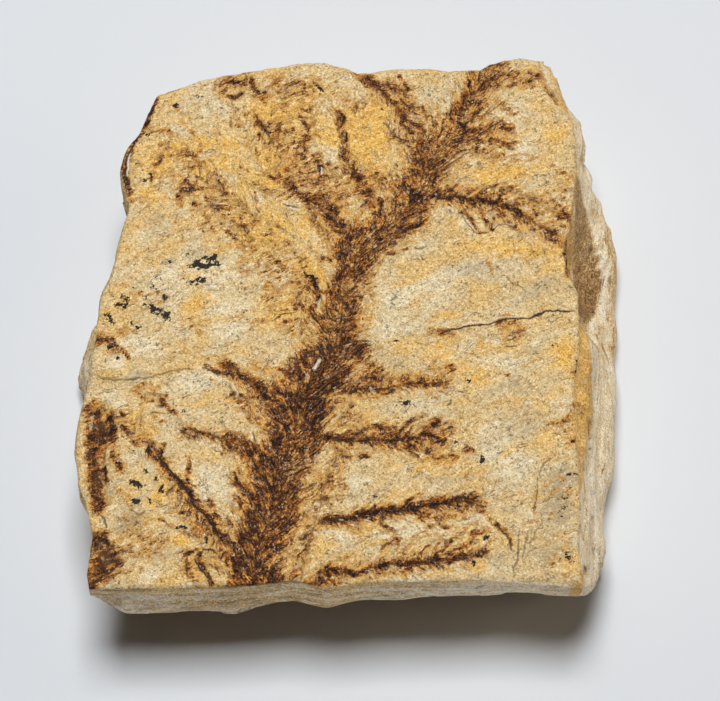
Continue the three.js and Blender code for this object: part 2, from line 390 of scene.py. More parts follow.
# Black mineral growths and soot-dark specks, as (strength, half width, points)
inkMarks = [
    (1, 0.55, [(-32.5, 9.8), (-31, 10.2), (-30, 9.7), (-29, 10), (-28.3, 10.5)]),
    (1, 0.3, [(-31.8, 10.9), (-31, 11.1)]), (1, 0.25, [(-30, 11.8), (-29.3, 12), (-29.2, 11.3)]),
    (1, 0.45, [(-28.5, 11.4), (-27.6, 12.2), (-27.3, 12.6)]), (1, 0.5, [(-27.9, 10.8), (-27, 10.8)]),
    (1, 0.3, [(-30.7, 9.2), (-29.5, 9.4)]), (1, 0.35, [(-32.3, 6), (-31.3, 6.8), (-30.7, 7.2)]),
    (1, 0.45, [(-31, 6), (-30, 6.5), (-29.2, 6.2)]), (0.9, 0.2, [(-33.7, 8.6), (-33, 8.5)]),
    (0.8, 0.2, [(-34, 6.8), (-33.2, 6.5)]), (1, 0.3, [(-33.1, 12.8), (-32.8, 12.8)]),
    (0.8, 0.15, [(-37, 11), (-36.8, 11)]), (1, 0.35, [(-38.8, 7.2), (-38.4, 6.9)]),
    (0.9, 0.35, [(-40, 6), (-39.7, 5.5), (-39, 5)]), (1, 0.4, [(-37.7, 3.5), (-37.5, 2.7)]),
    (0.8, 0.2, [(-41.2, 3), (-41, 3)]), (0.9, 0.35, [(-41.5, 1.2), (-40.5, 1.4), (-39.7, 0.8)]),
    (1, 0.8, [(-39.7, 0), (-38.5, 0), (-37.8, -0.8), (-37, -1)]), (0.9, 0.2, [(-37, -2), (-36.2, -2.3)]),
    (0.9, 0.25, [(-47.8, 3), (-47.5, 2.3)]), (0.9, 0.3, [(-46, 3), (-44.8, 2.6)]),
    (0.9, 0.25, [(-45, 2.3), (-45.3, 1), (-45.7, 0.2)]), (0.8, 0.35, [(-47.3, 1.2), (-46.3, 1.2)]),
    (0.8, 0.25, [(-44.5, 4.8), (-43.5, 4.5)]), (0.9, 0.25, [(-48.3, -1), (-48, -2), (-47.6, -2.7)]),
    (0.8, 0.15, [(-49.3, -1.3), (-48.5, -1.8)]), (0.9, 0.2, [(-43.7, -2.8), (-43.2, -3.4), (-42, -3.7)]),
    (0.9, 0.25, [(-21.2, 0), (-20.8, 0.2)]), (1, 0.4, [(-9.3, 8.4), (-8.7, 7.6)]),
    (1, 0.45, [(-7.9, 7.3), (-7, 6.6)]), (1, 0.35, [(-42.6, 29.3), (-42.3, 29.3)]),
    (0.9, 0.2, [(-41.3, 31.2), (-41, 30.3)]), (0.8, 0.2, [(-44.2, 33.8), (-43.8, 33.6)]),
    (0.9, 0.25, [(-36.5, 46.7), (-36.1, 46.8)]), (0.9, 0.3, [(-41.7, 40.1), (-43, 40.2)]),
    (0.8, 0.2, [(-32.3, 48.9), (-31, 48.8)]), (0.9, 0.4, [(-6.8, 51), (-6.3, 50.2)]),
    (0.9, 0.2, [(-11.8, 38.8), (-11.5, 37.9)]), (0.9, 0.3, [(-48.4, -8.6), (-48, -8.8)]),
    (0.8, 0.2, [(-46.8, -10.6), (-46.5, -10.8)]), (0.9, 0.3, [(-40, -35.1), (-39.7, -35.6)]),
    (0.9, 0.2, [(-43, -31), (-42.3, -31.2)]), (1, 0.35, [(-43, -37.2), (-42, -37.5), (-41.5, -37.7)]),
    (0.8, 0.12, [(-41, -37.7), (-39.8, -37.8)]), (0.8, 0.2, [(-37.8, -37.2), (-37, -37)]),
    (1, 0.3, [(-36.7, -38.2), (-37, -39), (-36.5, -39.5)]),
    (1, 0.3, [(-42, -40.8), (-41.3, -41.5), (-40.8, -41.3)]), (0.8, 0.2, [(-39, -41), (-38.6, -41.5)]),
    (0.8, 0.15, [(-33.5, -46.8), (-32.3, -46.2), (-31.5, -46.8)]),
    (0.8, 0.25, [(-27.7, -48.3), (-27.8, -50)]), (0.8, 0.3, [(-33, -22.5), (-32.7, -22.8)]),
    (0.9, 0.2, [(8.7, -7.3), (9.3, -7)]), (1, 0.3, [(23.3, -15.8), (23.5, -16)]),
    (0.8, 0.12, [(9.7, -20), (10.5, -20.8), (12, -21), (13, -21.2)]),
    (0.8, 0.15, [(11, -20.2), (13, -20.7)]), (0.9, 0.25, [(20.8, -28.4), (21.1, -28.4)]),
    (1, 0.25, [(25.7, -31.3), (25.7, -32.8)]), (1, 0.25, [(26.3, -31.3), (26.3, -32.5)]),
    (1, 0.3, [(26.2, -49), (27, -48.3)]), (0.9, 0.3, [(23.9, -53.8), (24.2, -54.3)]),
    (0.6, 0.15, [(42.3, -36), (43.5, -35.7), (44.5, -35.7)]), (0.8, 0.2, [(35.9, -42.2), (36.1, -42.4)]),
    (0.55, 0.4, [(41.3, -51.5), (42, -53), (43, -53.5)]), (0.8, 0.3, [(40.8, -7.9), (41.2, -8.1)]),
    (0.8, 0.2, [(45.2, -10.7), (45.2, -13.5)]), (0.8, 0.2, [(24.6, 51), (24.7, 53)]),
    (0.9, 0.3, [(28.9, 52), (29, 51.6)]), (0.8, 0.25, [(-2.2, -33.6), (-2, -33.9)]),
    (0.8, 0.2, [(4.3, -40.3), (5, -40.5)]),
]

# Hairlines, as (channel, strength, points); a negative strength draws a painted highlight along an edge instead
# of a dark crack
hairlines = [
    (0, 0.9, [(-10.2, -9.3), (-7.5, -8.6), (-4, -8.3), (-0.5, -7.7), (2, -7), (4.8, -6.6)]),
    (1, -0.45, [(19, -4.1), (24, -3.4), (29, -2.6), (33, -2), (37, -0.9)]),
    (0, 0.55, [(-52, -13.5), (-49, -14.9), (-44, -15), (-40, -14.7), (-37, -13.4), (-32.5, -13),
     (-30.5, -12.3)]), (0, 0.8, [(-10, -9.7), (-7, -9.7), (-4, -9.3), (-2, -9)]),
    (0, 0.9, [(0.5, -9), (2, -8.5), (4.5, -7.7)]),
    (0, 1, [(18.5, -4.5), (22.5, -4.1), (25.5, -3.8), (28, -3.4), (30.5, -3), (34, -2.3), (37, -1.7),
     (39.5, -0.7), (41, -0.5), (46, -0.7)]),
    (1, 0.55, [(40.2, -31.6), (38.4, -33), (37.5, -35.6), (36.6, -39.1), (36, -43.6)]),
    (0, 0.4, [(37.2, -43), (36.4, -47), (34, -53)]),
    (1, 0.7, [(17.8, 31), (19, 32.5), (20.5, 34), (22, 35.5), (24.5, 36.8)]),
    (0, 0.7, [(18.5, 30), (20.5, 32.8), (23, 35), (25.3, 36.3)]),
    (0, 1, [(-29.5, -53), (-29, -54.5), (-27.8, -56.3), (-26.5, -58)]),
    (1, 0.8, [(-31.8, -53.8), (-31.3, -55.5), (-30.5, -57.5)]),
    (0, 0.9, [(-28.3, -51), (-26.5, -51.5), (-25.5, -52.3)]),
    (1, 0.9, [(-29.3, -52.8), (-28.5, -52), (-28.2, -51.3)]),
    (1, 0.9, [(-32, -52.7), (-31, -52.3), (-30.2, -52.1)]),
    (0, 0.7, [(28, -44), (29.5, -47), (30.5, -49.5), (31.5, -52)]),
    (1, 0.6, [(33, -46.5), (32.7, -50), (32.5, -53), (31.7, -56.5)]),
    (0, 0.5, [(35, -46.5), (34.7, -49), (33.8, -51), (33.5, -54)]),
    (1, 0.5, [(33.3, -46.2), (34.5, -45.4), (35.7, -44.8)]), (1, 0.7, [(6.5, 42.9), (8.8, 42.2)]),
    (0, 0.9, [(8.8, 39.8), (10.3, 39), (11.8, 38)]), (0, 0.8, [(-14, 23.7), (-12.5, 23.3), (-10.5, 22.8)]),
    (1, -0.8, [(-13.6, 23), (-12, 22.7), (-10.2, 22.2)]), (0, 0.45, [(-1.5, 33.4), (-1.9, 30.5)]),
    (0, 0.5, [(-5, 33), (-4.2, 31.7), (-3.8, 29.5)]), (1, -0.7, [(-6.2, 33), (-6.1, 30.5)]),
    (0, 0.5, [(-5, 46.3), (-4.3, 45), (-3.5, 43.5)]), (1, -0.6, [(-37.6, 47), (-38.6, 45)]),
    (0, 0.9, [(-44.8, 38.5), (-45.7, 36), (-46.3, 33.5), (-46.7, 30), (-46.5, 27)]),
    (1, -0.9, [(-45.2, 36.2), (-45.8, 33.5), (-46.1, 30.5)]),
    (0, 0.6, [(26, 26.3), (28.5, 27.5), (30.8, 28.5)]), (1, 0.6, [(33.5, 26), (35.5, 27.1)]),
    (0, 0.45, [(21, 28.3), (24.5, 29.8)]), (0, 0.7, [(22.5, 21), (23.5, 19), (25, 17.3), (26.5, 17)]),
    (1, 0.6, [(29, 17.5), (29.7, 18.5), (31, 18.8), (33, 18.5)]),
    (0, 0.7, [(12.5, 13.5), (14, 13.5), (16, 14.3)]), (1, 0.5, [(-39, -22.6), (-37, -23), (-35.5, -22.9)]),
    (0, 0.8, [(-30, -12.2), (-28.8, -13), (-27, -14), (-26, -15)]),
    (1, 0.6, [(-32.5, -27.5), (-31, -28), (-29.5, -28.5)]),
    (0, 0.35, [(-37.5, -15.3), (-36, -17), (-34.5, -18.3)]),
    (0, 0.45, [(-40, -18.2), (-38, -18.6), (-36, -18.9)]),
    (0, 0.5, [(-42.5, -42.7), (-41.5, -43.8), (-40.5, -44.2), (-39, -43)]),
    (1, 0.45, [(-37, -45), (-35, -46.5), (-33.8, -47.5)]),
    (0, 0.8, [(-48.3, -44), (-47.6, -45), (-47.3, -47.5)]),
    (0, 0.6, [(-24, -16), (-23.2, -18), (-22.5, -19.5), (-22, -20.8)]),
    (1, -0.7, [(-23.4, -15.7), (-22.6, -17.6), (-22, -19)]), (0, 0.8, [(-19.3, -26.5), (-18.5, -29.5)]),
    (1, -0.8, [(-20, -26.4), (-19.3, -29)]), (1, -0.8, [(-6.2, -10.2), (-7, -12), (-7.6, -13)]),
    (1, 0.6, [(-7.5, -37.5), (-8.5, -38.3), (-9.5, -38.5)]), (0, 0.5, [(-9, -41), (-7, -41.2), (-5, -41)]),
    (1, 0.7, [(20.2, -19), (19.7, -20.2), (19.2, -21.3)]), (0, 0.6, [(12.5, -7), (14.5, -7.8), (16, -7.7)]),
    (0, 0.5, [(8.5, -12.8), (9.5, -12.4), (11, -12.7)]), (1, 0.8, [(30.8, -8), (32.5, -8), (33.7, -7.8)]),
    (0, 0.6, [(10, -17.7), (11.5, -18.3), (12, -19)]), (1, -0.7, [(10, -18.2), (11, -18.9), (11.6, -19.4)]),
    (1, 0.5, [(21.5, -24), (23, -23), (24.5, -22)]),
    (0, 0.7, [(11, -29.3), (12.5, -30.5), (13.5, -31.5), (14.5, -32.2)]),
    (0, 0.5, [(38, -25.6), (41, -24.8), (44, -23.8)]), (1, -0.6, [(24, -43.6), (26, -44.3), (27.4, -46)]),
    (0, 0.45, [(0, -50.5), (2, -50), (3.5, -49)]), (1, -0.8, [(-1.8, -44.9), (-0.6, -44.8)]),
    (0, 0.95, [(-38.8, -30.7), (-36, -34), (-33, -37.6), (-29.6, -42.3), (-26.6, -46.2), (-24.6, -49.2)]),
    (0, 0.5, [(-4, -43.7), (-2, -43.4), (0, -43.7)]), (0, 0.5, [(31.5, 7.5), (33.5, 5.2), (37, 3.2)]),
    (1, 0.35, [(6, 6.9), (9, 7.2), (12, 6.9)]), (0, 0.5, [(17.5, 19.2), (18.5, 20.2), (19.8, 20.6)]),
    (1, 0.5, [(-15, 49), (-13, 48.7), (-11.5, 50)]), (0, 0.5, [(1.4, 46.6), (1.6, 48.3), (3, 49)]),
]

# Dark clots and fibres of the stem, its branches and loose needles, as (darkness, half width, points)
bodies = [
    (0.4, 1.6, [(-46, -22.5), (-43.6, -25.4), (-41, -28.5)]),
    (0.5, 1.6, [(2, -9), (3.6, -11.5), (3, -14.5)]), (0.45, 1.4, [(-0.5, -22), (1.5, -25), (-1, -31)]),
    (0.62, 1.5, [(16, 26.5), (20, 26), (25, 25), (30, 23.8), (34, 22), (37, 19.5)]),
    (0.42, 1.2, [(36, 20), (40, 17), (43, 15)]), (0.48, 0.9, [(25, 26.5), (30, 27), (35, 27.5)]),
    (0.42, 0.9, [(27, 22.5), (31, 20.5), (34, 18.5)]), (0.34, 1.6, [(37, 25), (41, 24), (44, 20)]),
    (0.7, 1, [(43.5, 22), (46, 20.5)]), (0.72, 1.3, [(24, 41), (28, 41.5), (32.5, 41.7)]),
    (0.55, 1.3, [(25, 39), (29, 39), (33, 38)]), (0.4, 1, [(26, 37), (28, 35.5), (31, 34.8)]),
    (0.62, 1.2, [(29, 54), (33, 54.5), (37, 54), (40, 54)]), (0.52, 1, [(30, 51.5), (34, 52.5), (38, 52)]),
    (0.4, 1.2, [(31, 47), (33, 46)]), (0.66, 1.2, [(2, 55), (6, 51), (10, 46.5), (13, 42), (15, 39)]),
    (0.5, 1.5, [(8, 52), (11, 48.5), (13.5, 46)]), (0.5, 1.2, [(9, 40), (12, 38), (15, 36)]),
    (0.62, 1.4, [(-0.5, 34.5), (1, 31), (3, 27), (5, 23)]), (0.42, 1.6, [(6, 30), (7.5, 26), (8, 22)]),
    (0.5, 1.6, [(4, 24), (6, 21), (8, 19)]), (0.74, 1.7, [(-8, 25), (-5, 21.5), (-2, 18.5), (0, 16)]),
    (0.55, 1.2, [(-14, 29.5), (-11, 26.5), (-8.5, 25)]), (0.5, 0.8, [(-7, 34), (-7, 30), (-6.5, 27)]),
    (0.34, 1.4, [(-19.5, 43.5), (-17, 41)]), (0.36, 2.2, [(-17, 41), (-13, 38), (-10.5, 34), (-9, 30)]),
    (0.42, 1.2, [(-9.5, 45), (-9, 41), (-9.5, 37)]), (0.52, 0.6, [(-2.5, 45), (-1.5, 41), (-1, 36.5)]),
    (0.52, 1.5, [(-27, 51), (-24.5, 52.5), (-22.5, 52.5)]), (0.5, 0.7, [(-20.5, 52), (-18, 48.5)]),
    (0.38, 1.7, [(-14.5, 52.5), (-11.5, 51), (-8, 51.5)]),
    (0.4, 1, [(-36, 30), (-33.5, 28.5), (-31, 26.5)]), (0.36, 0.8, [(-34.5, 36), (-31.5, 33)]),
    (0.4, 0.7, [(-28, 30), (-26, 26)]), (0.32, 1.6, [(-5, 30), (-3, 26), (-1, 23)]),
    (0.4, 1.2, [(-8, 22.5), (-6, 18), (-4, 15)]), (0.8, 2, [(-24, -28.5), (-20, -31), (-16, -34.5)]),
    (0.5, 0.9, [(-33, -26.5), (-28, -27.5), (-24, -29)]),
    (0.62, 1.4, [(-25, -12), (-21, -15), (-17, -19), (-14, -22)]),
    (0.36, 2, [(-21, -20), (-18, -23), (-15, -26)]), (0.46, 1.6, [(-22, -36), (-21, -40), (-22, -43)]),
    (0.36, 1, [(-41, -28), (-38, -31)]),
    (0.4, 1.3, [(-38, -31.5), (-35, -36), (-31.5, -41), (-28, -45), (-24.5, -49)]),
    (0.5, 2.4, [(-28, -46), (-25, -50), (-23, -54)]), (0.34, 1.3, [(-31.5, -52.5), (-30, -56), (-28, -58)]),
    (0.34, 1, [(-46.5, -24), (-44, -26.5), (-41, -29)]), (0.4, 0.7, [(-47, -29), (-45, -34)]),
    (0.42, 1.5, [(-9, -44), (-6, -41), (-4, -37)]), (0.42, 1.5, [(-11, -56), (-9, -51), (-7, -46)]),
    (0.66, 1.5, [(-3, -17.5), (2, -17), (7, -16.5)]), (0.46, 1.1, [(7, -16.5), (12, -15.5), (19, -16)]),
    (0.5, 0.8, [(1, -14.5), (6, -13.5)]),
    (0.72, 1.4, [(-6, -27.8), (0, -27.8), (6, -28.3), (12, -28.5), (18, -28)]),
    (0.54, 1.3, [(1, -26.5), (6, -25.8), (9.5, -26.8)]), (0.58, 1.2, [(15, -27), (16.5, -25), (19, -25.5)]),
    (0.36, 1.2, [(0, -22), (-2, -20), (-4, -19)]),
    (0.6, 0.9, [(-4.5, -45.7), (3, -44.6), (10, -43), (17, -41.5), (24, -40.8)]),
    (0.4, 1, [(17, -43.5), (22, -42.5), (26, -42)]),
    (0.56, 1, [(-7, -57), (-3, -56.3), (3, -55.3), (10, -54.3), (18, -53), (25, -52)]),
    (0.55, 1.4, [(-7.5, -57.5), (-4, -56.5)]), (0.82, 2, [(-51, -22), (-49.6, -25), (-49.4, -29)]),
    (0.8, 1.2, [(-50.6, -26), (-50.6, -31), (-50, -36), (-49.2, -43)]),
    (0.74, 2.6, [(-49, -50), (-48.4, -54), (-50, -57.5)]), (0.7, 1.6, [(-45.8, -52), (-46.5, -56)]),
    (0.66, 1, [(-51, -7), (-49, -6.5), (-46.5, -9)]), (0.4, 1.8, [(-9, 6), (-9, 2), (-7.5, -1)]),
    (0.5, 1.4, [(31, -3.5), (33.5, -4.5)]), (0.5, 0.7, [(17, -5), (20, -5.3)]),
    (0.42, 1, [(16.5, -13), (20, -13.5)]),
]
mottles = [
    (-42, -47, 6, 5, 0, 0.34), (-38, -51, 7, 5, 0, 0.36), (-16, 28, 12, 6, 40, 0.24),
    (-24, 20, 13, 6.5, -42, 0.6), (-34, 32, 10, 7, -30, 0.32), (-39, 39, 5, 6, 0, 0.22),
    (-14, 38, 9, 11, 35, 0.36), (-12, 50, 13, 6, 0, 0.34), (3, 47, 5, 6, 0, 0.2), (4, 28, 8, 10, 0, 0.34),
    (-6, 27, 8, 10, 0, 0.36), (-13, 6, 7, 12, 0, 0.5), (-21, 10, 4, 4, 0, 0.2), (-10, -3, 5, 7, 0, 0.38),
    (20, 38, 12, 18, -30, 0.22), (38, 22, 9, 6, -15, 0.26), (30, 23, 10, 6, -10, 0.24),
    (44, 27, 3, 8, 0, 0.24), (36, 33, 8, 4, 0, 0.14), (11, 44, 8, 11, 30, 0.22),
    (-19, -20, 7, 7, -40, 0.26), (-44, -24, 5, 5, 0, 0.26), (-40, -18, 6, 3, -10, 0.2),
    (-30, -43, 6, 10, 40, 0.26), (-30, -55, 5, 4, 0, 0.28), (-24, -50, 6, 8, 0, 0.3),
    (-4, -38, 6, 7, 0, 0.22), (-5, -22, 6, 6, 0, 0.3), (6, -17, 14, 5, 0, 0.28), (8, -27, 15, 5, 0, 0.28),
    (17, -31, 10, 4, -15, 0.2), (-2, -33, 4, 3, 0, 0.24), (12, -43, 17, 3.5, 5, 0.24),
    (10, -54, 20, 4, 3, 0.26), (24, -47, 6, 4, 40, 0.18), (6, -48, 10, 4, 0, 0.16),
    (44.5, -16, 2, 9, 0, 0.3), (33, -5, 6, 4, 0, 0.22), (-40, 3, 5, 3, 0, 0.22), (-45, -4, 4, 3, 0, 0.2),
    (-32, -3, 6, 3, -30, 0.2), (36, 12, 9, 4, 0, 0.12), (-43, -54, 6, 5, 0, 0.2), (42, -25, 5, 8, 0, 0.14),
    (40.5, -40, 4.5, 8, -8, 0.2), (41, -54, 4, 5, 0, 0.2),
]

clots = [
    (1, 0.3, [(-31.5, -52.6), (-30, -51.8), (-28.6, -51.2), (-28.4, -54.2), (-27.3, -56.5), (-26.6, -58.3)]),
    (0.95, 0.25, [(-31.5, -53), (-30.8, -55), (-29.9, -57), (-28.6, -58.6)]),
    (0.95, 0.3, [(-21, -42), (-21.3, -43.3)]), (0.97, 0.6, [(-22.3, -50), (-22.5, -53), (-22, -55.5)]),
    (0.85, 0.3, [(-22.3, -35.3), (-22, -37.5), (-21, -39)]),
    (0.95, 0.5, [(-13, -28), (-14, -31), (-15, -34.5)]),
    (0.97, 0.8, [(-24, -12.2), (-22.6, -12.9), (-21.2, -14.2)]),
    (0.95, 0.9, [(-21, -14.5), (-20, -15), (-18.5, -17), (-17, -18.5), (-15.5, -20)]),
    (0.9, 0.25, [(-16.5, -13), (-14, -13)]), (0.9, 0.3, [(-25, -14), (-22.5, -14.8)]),
    (0.8, 0.3, [(-23.5, -18.5), (-18.8, -18.8)]), (0.95, 0.8, [(4.6, -15), (5.3, -15.3)]),
    (0.8, 0.4, [(5, -18.5), (7, -18.7), (8, -18.3)]),
    (0.88, 0.5, [(12, -17.2), (13.5, -16.8), (14.5, -17)]),
    (0.75, 0.9, [(2, -26.5), (4.5, -25.3), (6, -26)]),
    (0.9, 0.3, [(9.8, -26.5), (10, -26), (11.5, -24.7), (13, -23.5)]),
    (0.88, 0.9, [(16.2, -25.1), (17.6, -24.8)]), (0.85, 0.45, [(22.6, -30), (24, -30.3)]),
    (0.8, 0.45, [(2, -32), (4.3, -31.8)]),
    (0.97, 0.35, [(-39.7, -29.8), (-38.7, -31.5), (-37.3, -33.2), (-35.8, -34.8), (-34.5, -36.5)]),
    (0.85, 0.45, [(-38, -30.8), (-37.3, -31), (-36.8, -29.7)]),
    (0.95, 0.45, [(-36.5, -34), (-35, -35.5), (-33.5, -37.3), (-32, -38.8), (-31, -39.6)]),
    (0.9, 0.5, [(-31, -39.6), (-30, -41.5), (-28.5, -43.5), (-27, -45.5), (-26, -46.3)]),
    (0.85, 0.45, [(-25.5, -47.5), (-24, -49.5), (-23, -51)]),
    (0.8, 0.3, [(-31.5, -33), (-31.5, -36), (-31, -38)]),
    (0.8, 0.3, [(-32.8, -43.5), (-31.5, -43.3), (-31, -42.6)]),
    (0.7, 0.25, [(-27.5, -41), (-26.5, -43.5), (-25, -46)]),
    (0.95, 0.6, [(-50, -6.5), (-49, -7), (-47.5, -7)]),
    (0.9, 0.35, [(-47, -7.5), (-46, -8.5), (-45, -9.8), (-44, -10.5)]),
    (0.9, 0.5, [(-45, -25.5), (-44, -26.7)]), (0.9, 0.4, [(-46.5, -31), (-45.5, -33), (-44.7, -34)]),
    (0.75, 0.6, [(-37.2, -20), (-36.2, -21.5), (-34.5, -22.6)]),
    (0.65, 0.5, [(17, -42.5), (20, -42.3), (24, -42.8), (26, -43)]),
    (0.8, 0.25, [(17, -43.8), (19, -44.5), (20.5, -44)]),
    (0.7, 0.25, [(14, -43.8), (17, -44.8), (18.5, -46), (19.5, -46)]),
    (0.95, 0.9, [(-6, -57), (-4.5, -57.8), (-3, -57.8)]),
    (0.97, 0.45, [(0.5, -56.3), (1, -55.5), (3, -55), (5.5, -55), (6.5, -54.7)]),
    (0.75, 0.5, [(19.5, -51.8), (21, -51), (22, -51.5)]),
    (0.85, 0.25, [(13, -53), (14, -51.5), (15.3, -50.3)]),
    (0.8, 0.25, [(17, -52), (18.5, -51), (19.5, -49.3)]), (0.7, 0.3, [(21.5, -50), (23, -49.3), (25, -48)]),
    (0.95, 0.5, [(9.5, 16), (11.5, 17.3), (13.5, 18.5), (15.2, 20.2)]),
    (0.9, 0.25, [(4, 13.5), (6, 13), (9, 12.4)]), (0.9, 0.25, [(10.8, 13), (11.3, 12.9)]),
    (0.85, 0.3, [(-6, 10.5), (-5.2, 11.6), (-4.3, 10.8)]),
    (0.97, 0.45, [(-7.3, 4.5), (-6.8, 2.5), (-7.2, 0.5)]),
    (1, 0.6, [(-5.2, 21.5), (-4, 20.3), (-2.5, 19), (-1, 18.5)]),
    (0.9, 0.7, [(-5, 25.5), (-4, 23.5), (-3.2, 21), (-2, 19.8)]),
    (0.9, 0.45, [(-7, 33.2), (-6.5, 31), (-7, 28.5)]),
    (0.85, 0.6, [(-13, 30), (-11.5, 27.5), (-10, 25.5), (-8.5, 24.7)]),
    (0.85, 0.3, [(-17, 30.5), (-15.5, 29.5)]), (0.88, 0.5, [(-19.5, 43.7), (-18.5, 42), (-17, 40.5)]),
    (0.65, 0.3, [(-19, 40.5), (-17.5, 37.5)]), (0.85, 0.3, [(-14.7, 42), (-14.7, 40.3)]),
    (0.85, 0.4, [(-9.8, 39.8), (-9, 39.3), (-9.5, 36.5)]),
    (0.7, 0.4, [(-10.5, 45), (-9.5, 43), (-8.5, 41.5)]), (0.85, 0.4, [(-2, 45), (-1.6, 43), (-1.7, 41.5)]),
    (0.7, 0.3, [(-0.8, 40.5), (-0.5, 38), (-0.5, 36.8)]),
    (0.95, 0.85, [(0.3, 33), (0.5, 31), (1.5, 29.5), (2.5, 28.3)]),
    (0.78, 0.9, [(4, 25.5), (5.5, 24.5), (6.5, 23.5)]),
    (0.85, 0.4, [(-27.5, 29.5), (-26.5, 27.5), (-25.5, 26)]),
    (0.85, 0.4, [(-34, 29.5), (-33, 28), (-31.8, 27)]), (0.6, 0.4, [(-34, 36), (-32, 34.5), (-31.5, 33)]),
    (0.7, 0.4, [(-35, 26.5), (-34.5, 25)]),
    (0.8, 0.4, [(-26.5, 50), (-25, 49), (-23.5, 49.2), (-22.5, 50)]),
    (0.92, 0.45, [(-20.5, 52.5), (-19.3, 50.5), (-18.3, 49.3)]), (0.9, 0.9, [(-25, 52.4), (-23, 52.5)]),
    (0.75, 0.3, [(-14, 50.5), (-12.5, 49.5), (-11.5, 50)]), (0.6, 0.3, [(-38.5, 50), (-36.5, 51)]),
    (0.75, 0.4, [(-42, 40.6), (-40.5, 41.2), (-39.5, 41)]),
    (0.97, 1, [(12.7, 21.8), (12.3, 24), (13.2, 26.8)]), (0.95, 0.8, [(14.8, 24.5), (13.8, 26.5)]),
    (0.95, 0.4, [(17.3, 26.8), (17.5, 28.5), (18, 31)]), (0.95, 0.7, [(22.5, 39), (23.3, 40.5), (23, 43)]),
    (0.97, 0.35, [(25, 49), (24.6, 51), (24.7, 53)]), (0.9, 0.7, [(25.5, 44), (26.5, 46.5), (27.5, 48.5)]),
    (0.8, 0.8, [(21.8, 45), (23, 47.5), (24.3, 50)]), (0.85, 0.35, [(29, 39.5), (30.5, 38.8), (32.5, 38)]),
    (0.85, 0.7, [(4, 54), (5.5, 52), (7, 50.5)]), (0.97, 0.5, [(11, 43.2), (12, 41.8), (13, 40.3)]),
    (0.82, 0.7, [(11, 44.8), (12.5, 43.5), (14, 42), (15, 40.5)]),
    (0.75, 0.5, [(10.7, 54), (11.8, 52), (12.3, 50.5)]), (0.7, 0.25, [(15, 47), (15.3, 44.5)]),
    (1, 0.8, [(26, 24.5), (28.5, 24.2), (30.5, 23.7), (32.5, 23.3), (34, 22.3), (34.7, 21)]),
    (0.8, 1.2, [(17.5, 25.5), (22, 25), (27, 24)]), (0.92, 0.3, [(23, 22), (24, 20.2), (25, 18.8)]),
    (0.9, 0.25, [(26.3, 22.8), (27.2, 20.8), (28.5, 19), (29, 18)]), (0.97, 0.9, [(42.7, 21), (43.8, 22)]),
    (0.8, 0.3, [(37, 18.3), (39.5, 18), (41, 16), (43, 15.2)]), (0.9, 0.3, [(44.2, -27.6), (44.2, -28.4)]),
    (0.75, 0.3, [(30.8, -14.9), (31.4, -14.7)]), (0.95, 0.9, [(-47.5, -49.5), (-46.5, -51.5), (-45, -53)]),
    (0.95, 1.1, [(-48.5, -53), (-47.5, -55), (-47.5, -57)]), (0.85, 0.8, [(-46.5, -53.5), (-44.5, -54)]),
    (0.97, 1.1, [(-49.5, -22.5), (-49, -25.5), (-49.3, -28)]),
    (0.95, 0.7, [(-47.3, -23), (-46.8, -26), (-46.6, -28.5)]),
    (0.97, 0.6, [(-50.3, -30), (-50.2, -34), (-49.6, -37), (-48.9, -40), (-48.8, -42)]),
    (0.85, 0.5, [(-48.6, -30), (-48.3, -34), (-47.8, -37)]),
]

